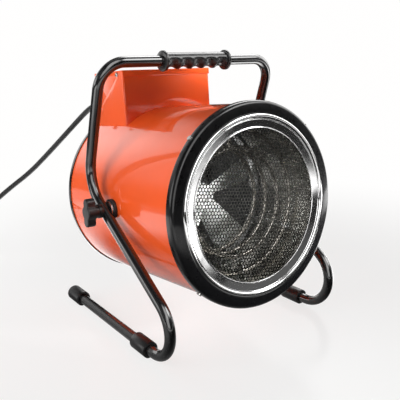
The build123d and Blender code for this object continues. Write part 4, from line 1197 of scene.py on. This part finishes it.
# --- stand
@dataclass
class TubeStand(SubAssembly):
    """The bent tube with its grip, caps and sleeves.

    The half width pivot_half goes to the tube's middle at the pivots; toe_in and heel_in say
    how far inside it the front bends and the rear ends stand. Leans are from upright: the legs'
    up to the knees, which lie knee_above past the pivots, and the risers' from there to the bar.
    The bends are those of the toe, the knee and the bar. The grip's middle is grip_offset to the
    heater's right; a collar's faces have the radius collar_edge, and its corners are cut by
    collar_round. A finger hollow takes hollow_share of its pitch. The hollows face the palm way,
    start at palm_edge and are whole from palm_full, which are cosines to that way.
    """

    radius: float = 0.008
    pivot_half: float = 0.160
    toe_in: float = 0.004
    heel_in: float = 0.009
    run_height: float = 0.012
    leg_lean: float = math.radians(55.9)
    riser_lean: float = math.radians(16.7)
    knee_above: float = 0.0558
    top_height: float = 0.4115
    tube_end: float = 0.14013
    bends: tuple[float, float, float] = (0.046, 0.059, 0.038)
    foot_bevel: float = 0.0006
    grip_half: float = 0.0615
    grip_offset: float = 0.0025
    grip_radius: float = 0.0124
    grip_bore: float = 0.0081
    collar_width: float = 0.005
    collar_radius: float = 0.01549
    collar_edge: float = 0.0147
    collar_round: float = 0.0008
    hollows: int = 5
    hollow_cut: float = 0.0035
    hollow_share: float = 0.87
    hollow_steps: int = 32
    grip_sides: int = 72
    palm: Point = (0.0, -0.45, -0.893)
    palm_edge: float = -0.1
    palm_full: float = 0.7

    def points(self, half: int) -> list[Vector]:
        """Find the corners of one side of the tube.

        Args:
            half: -1 for the left side, 1 for the right.

        Returns:
            Its corners, from its rear end up to the handle bar.
        """
        reach = (PIVOT.z - self.run_height) / math.cos(self.leg_lean)
        way = Vector((0.0, math.sin(self.leg_lean), math.cos(self.leg_lean)))
        low = PIVOT - way * reach
        knee = PIVOT + way * self.knee_above
        wide = self.pivot_half - self.toe_in + self.toe_in * (reach + self.knee_above) / reach
        top = knee.y - (self.top_height - knee.z) * math.tan(self.riser_lean)
        return [
            Vector((half * (self.pivot_half - self.heel_in), self.tube_end, self.run_height)),
            Vector((half * (self.pivot_half - self.toe_in), low.y, self.run_height)),
            Vector((half * wide, knee.y, knee.z)),
            Vector((half * wide, top, self.top_height)),
        ]

    def build(self) -> None:
        """Bend the tube and dress what is on it."""
        points = [*self.points(-1), *reversed(self.points(1))]
        walk = TubeWalk(points[0], points[1] - points[0], self.radius, sides=28)
        walk.corners(points[1:], (*self.bends, *reversed(self.bends)))
        finish_piece("stand_bent_tube", walk.cap(), STAND_BLACK, Body.STAND,
                     replaces=["stand_tube"])
        self.grip()
        for node in ("foot_cap_left", "foot_cap_right", "foot_sleeve_left", "foot_sleeve_right"):
            self.smooth(node, MOULDING, Body.STAND, self.foot_bevel)
        self.dress(Body.STAND, {"cup_washer_left": ZINC, "cup_washer_right": ZINC})

    def grip(self) -> None:
        """Mould the grip: two collars and, along its lower front, five finger hollows."""
        body_half = self.grip_half - self.collar_width
        pitch = 2.0 * body_half / self.hollows
        collar = [
            (body_half, self.collar_edge),
            (body_half + self.collar_round, self.collar_radius),
            (self.grip_half - self.collar_round, self.collar_radius),
            (self.grip_half, self.collar_edge),
            (self.grip_half, self.grip_bore),
        ]
        steps = self.hollows * self.hollow_steps
        step = 2.0 * body_half / steps
        body = [(n * step - body_half, self.grip_radius) for n in range(steps + 1)]
        outline = [(-x, radius) for x, radius in reversed(collar)] + body + collar
        outline.append((-self.grip_half, self.grip_bore))
        bm = bmesh.new()
        wire(bm, [(x, 0.0, radius) for x, radius in outline])
        spin_round(bm, (1.0, 0.0, 0.0), self.grip_sides)
        for vert in bm.verts:
            way = Vector((0.0, vert.co.y, vert.co.z))
            if abs(way.length - self.grip_radius) > 1e-5 or abs(vert.co.x) > body_half - 1e-5:
                continue
            along = 2.0 * ((vert.co.x + body_half) / pitch % 1.0) - 1.0
            vert.co -= way.normalized() * self.hollow_depth(along, way.normalized())
        middle = self.points(1)[3]
        bmesh.ops.translate(bm, verts=bm.verts, vec=(self.grip_offset, middle.y, middle.z))
        finish_piece("grip", bm, GRIP_RUBBER, Body.STAND, crease=50.0, replaces=["handle_grip"])

    def hollow_depth(self, along: float, way: Vector) -> float:
        """Return the depth of a finger hollow.

        Args:
            along: Place in the hollow, from -1 to 1 between its ridges.
            way: Direction from the grip's axis.

        Returns:
            How far the surface lies under the grip's radius.
        """
        arch = max(0.0, 1.0 - (along / self.hollow_share) ** 2)
        along_palm = way.dot(Vector(self.palm)) - self.palm_edge
        side = min(1.0, max(0.0, along_palm / (self.palm_full - self.palm_edge)))
        return self.hollow_cut * arch * side * side * (3.0 - 2.0 * side)


@dataclass
class PivotClamp(SubAssembly):
    """One side's clamp: spacer, nut plate, saddle, stud and knob.

    It has a side, "left" or "right", the body that slides and the body that turns.
    """

    side: str
    saddle: Body
    knob: Body
    spacer_bevel: float = 0.0004
    saddle_bevel: float = 0.0003

    def build(self) -> None:
        """Dress the clamp's pieces."""
        side = self.side
        self.dress(Body.DRUM, {f"pivot_spacer_{side}": RUBBER}, self.spacer_bevel)
        self.dress(Body.DRUM, {f"nut_plate_{side}": ZINC})
        self.dress(self.saddle, {f"knob_saddle_{side}": MOULDING}, self.saddle_bevel)
        self.dress(self.knob, {f"clamp_knob_{side}": MOULDING, f"clamp_stud_{side}": ZINC})


def main() -> None:
    """Build the heater from its classes, in order."""
    logging.basicConfig(level=logging.INFO, format="%(name)s %(message)s")
    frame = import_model()
    Studio().build()
    for group in (SupplyCord, DrumShell, HeatingDuct, Fan, ControlHousing, TubeStand):
        group(frame).build()
    PivotClamp(frame, "left", Body.SADDLE_LEFT, Body.KNOB_LEFT).build()
    PivotClamp(frame, "right", Body.SADDLE_RIGHT, Body.KNOB_RIGHT).build()


if __name__ == "__main__":
    main()
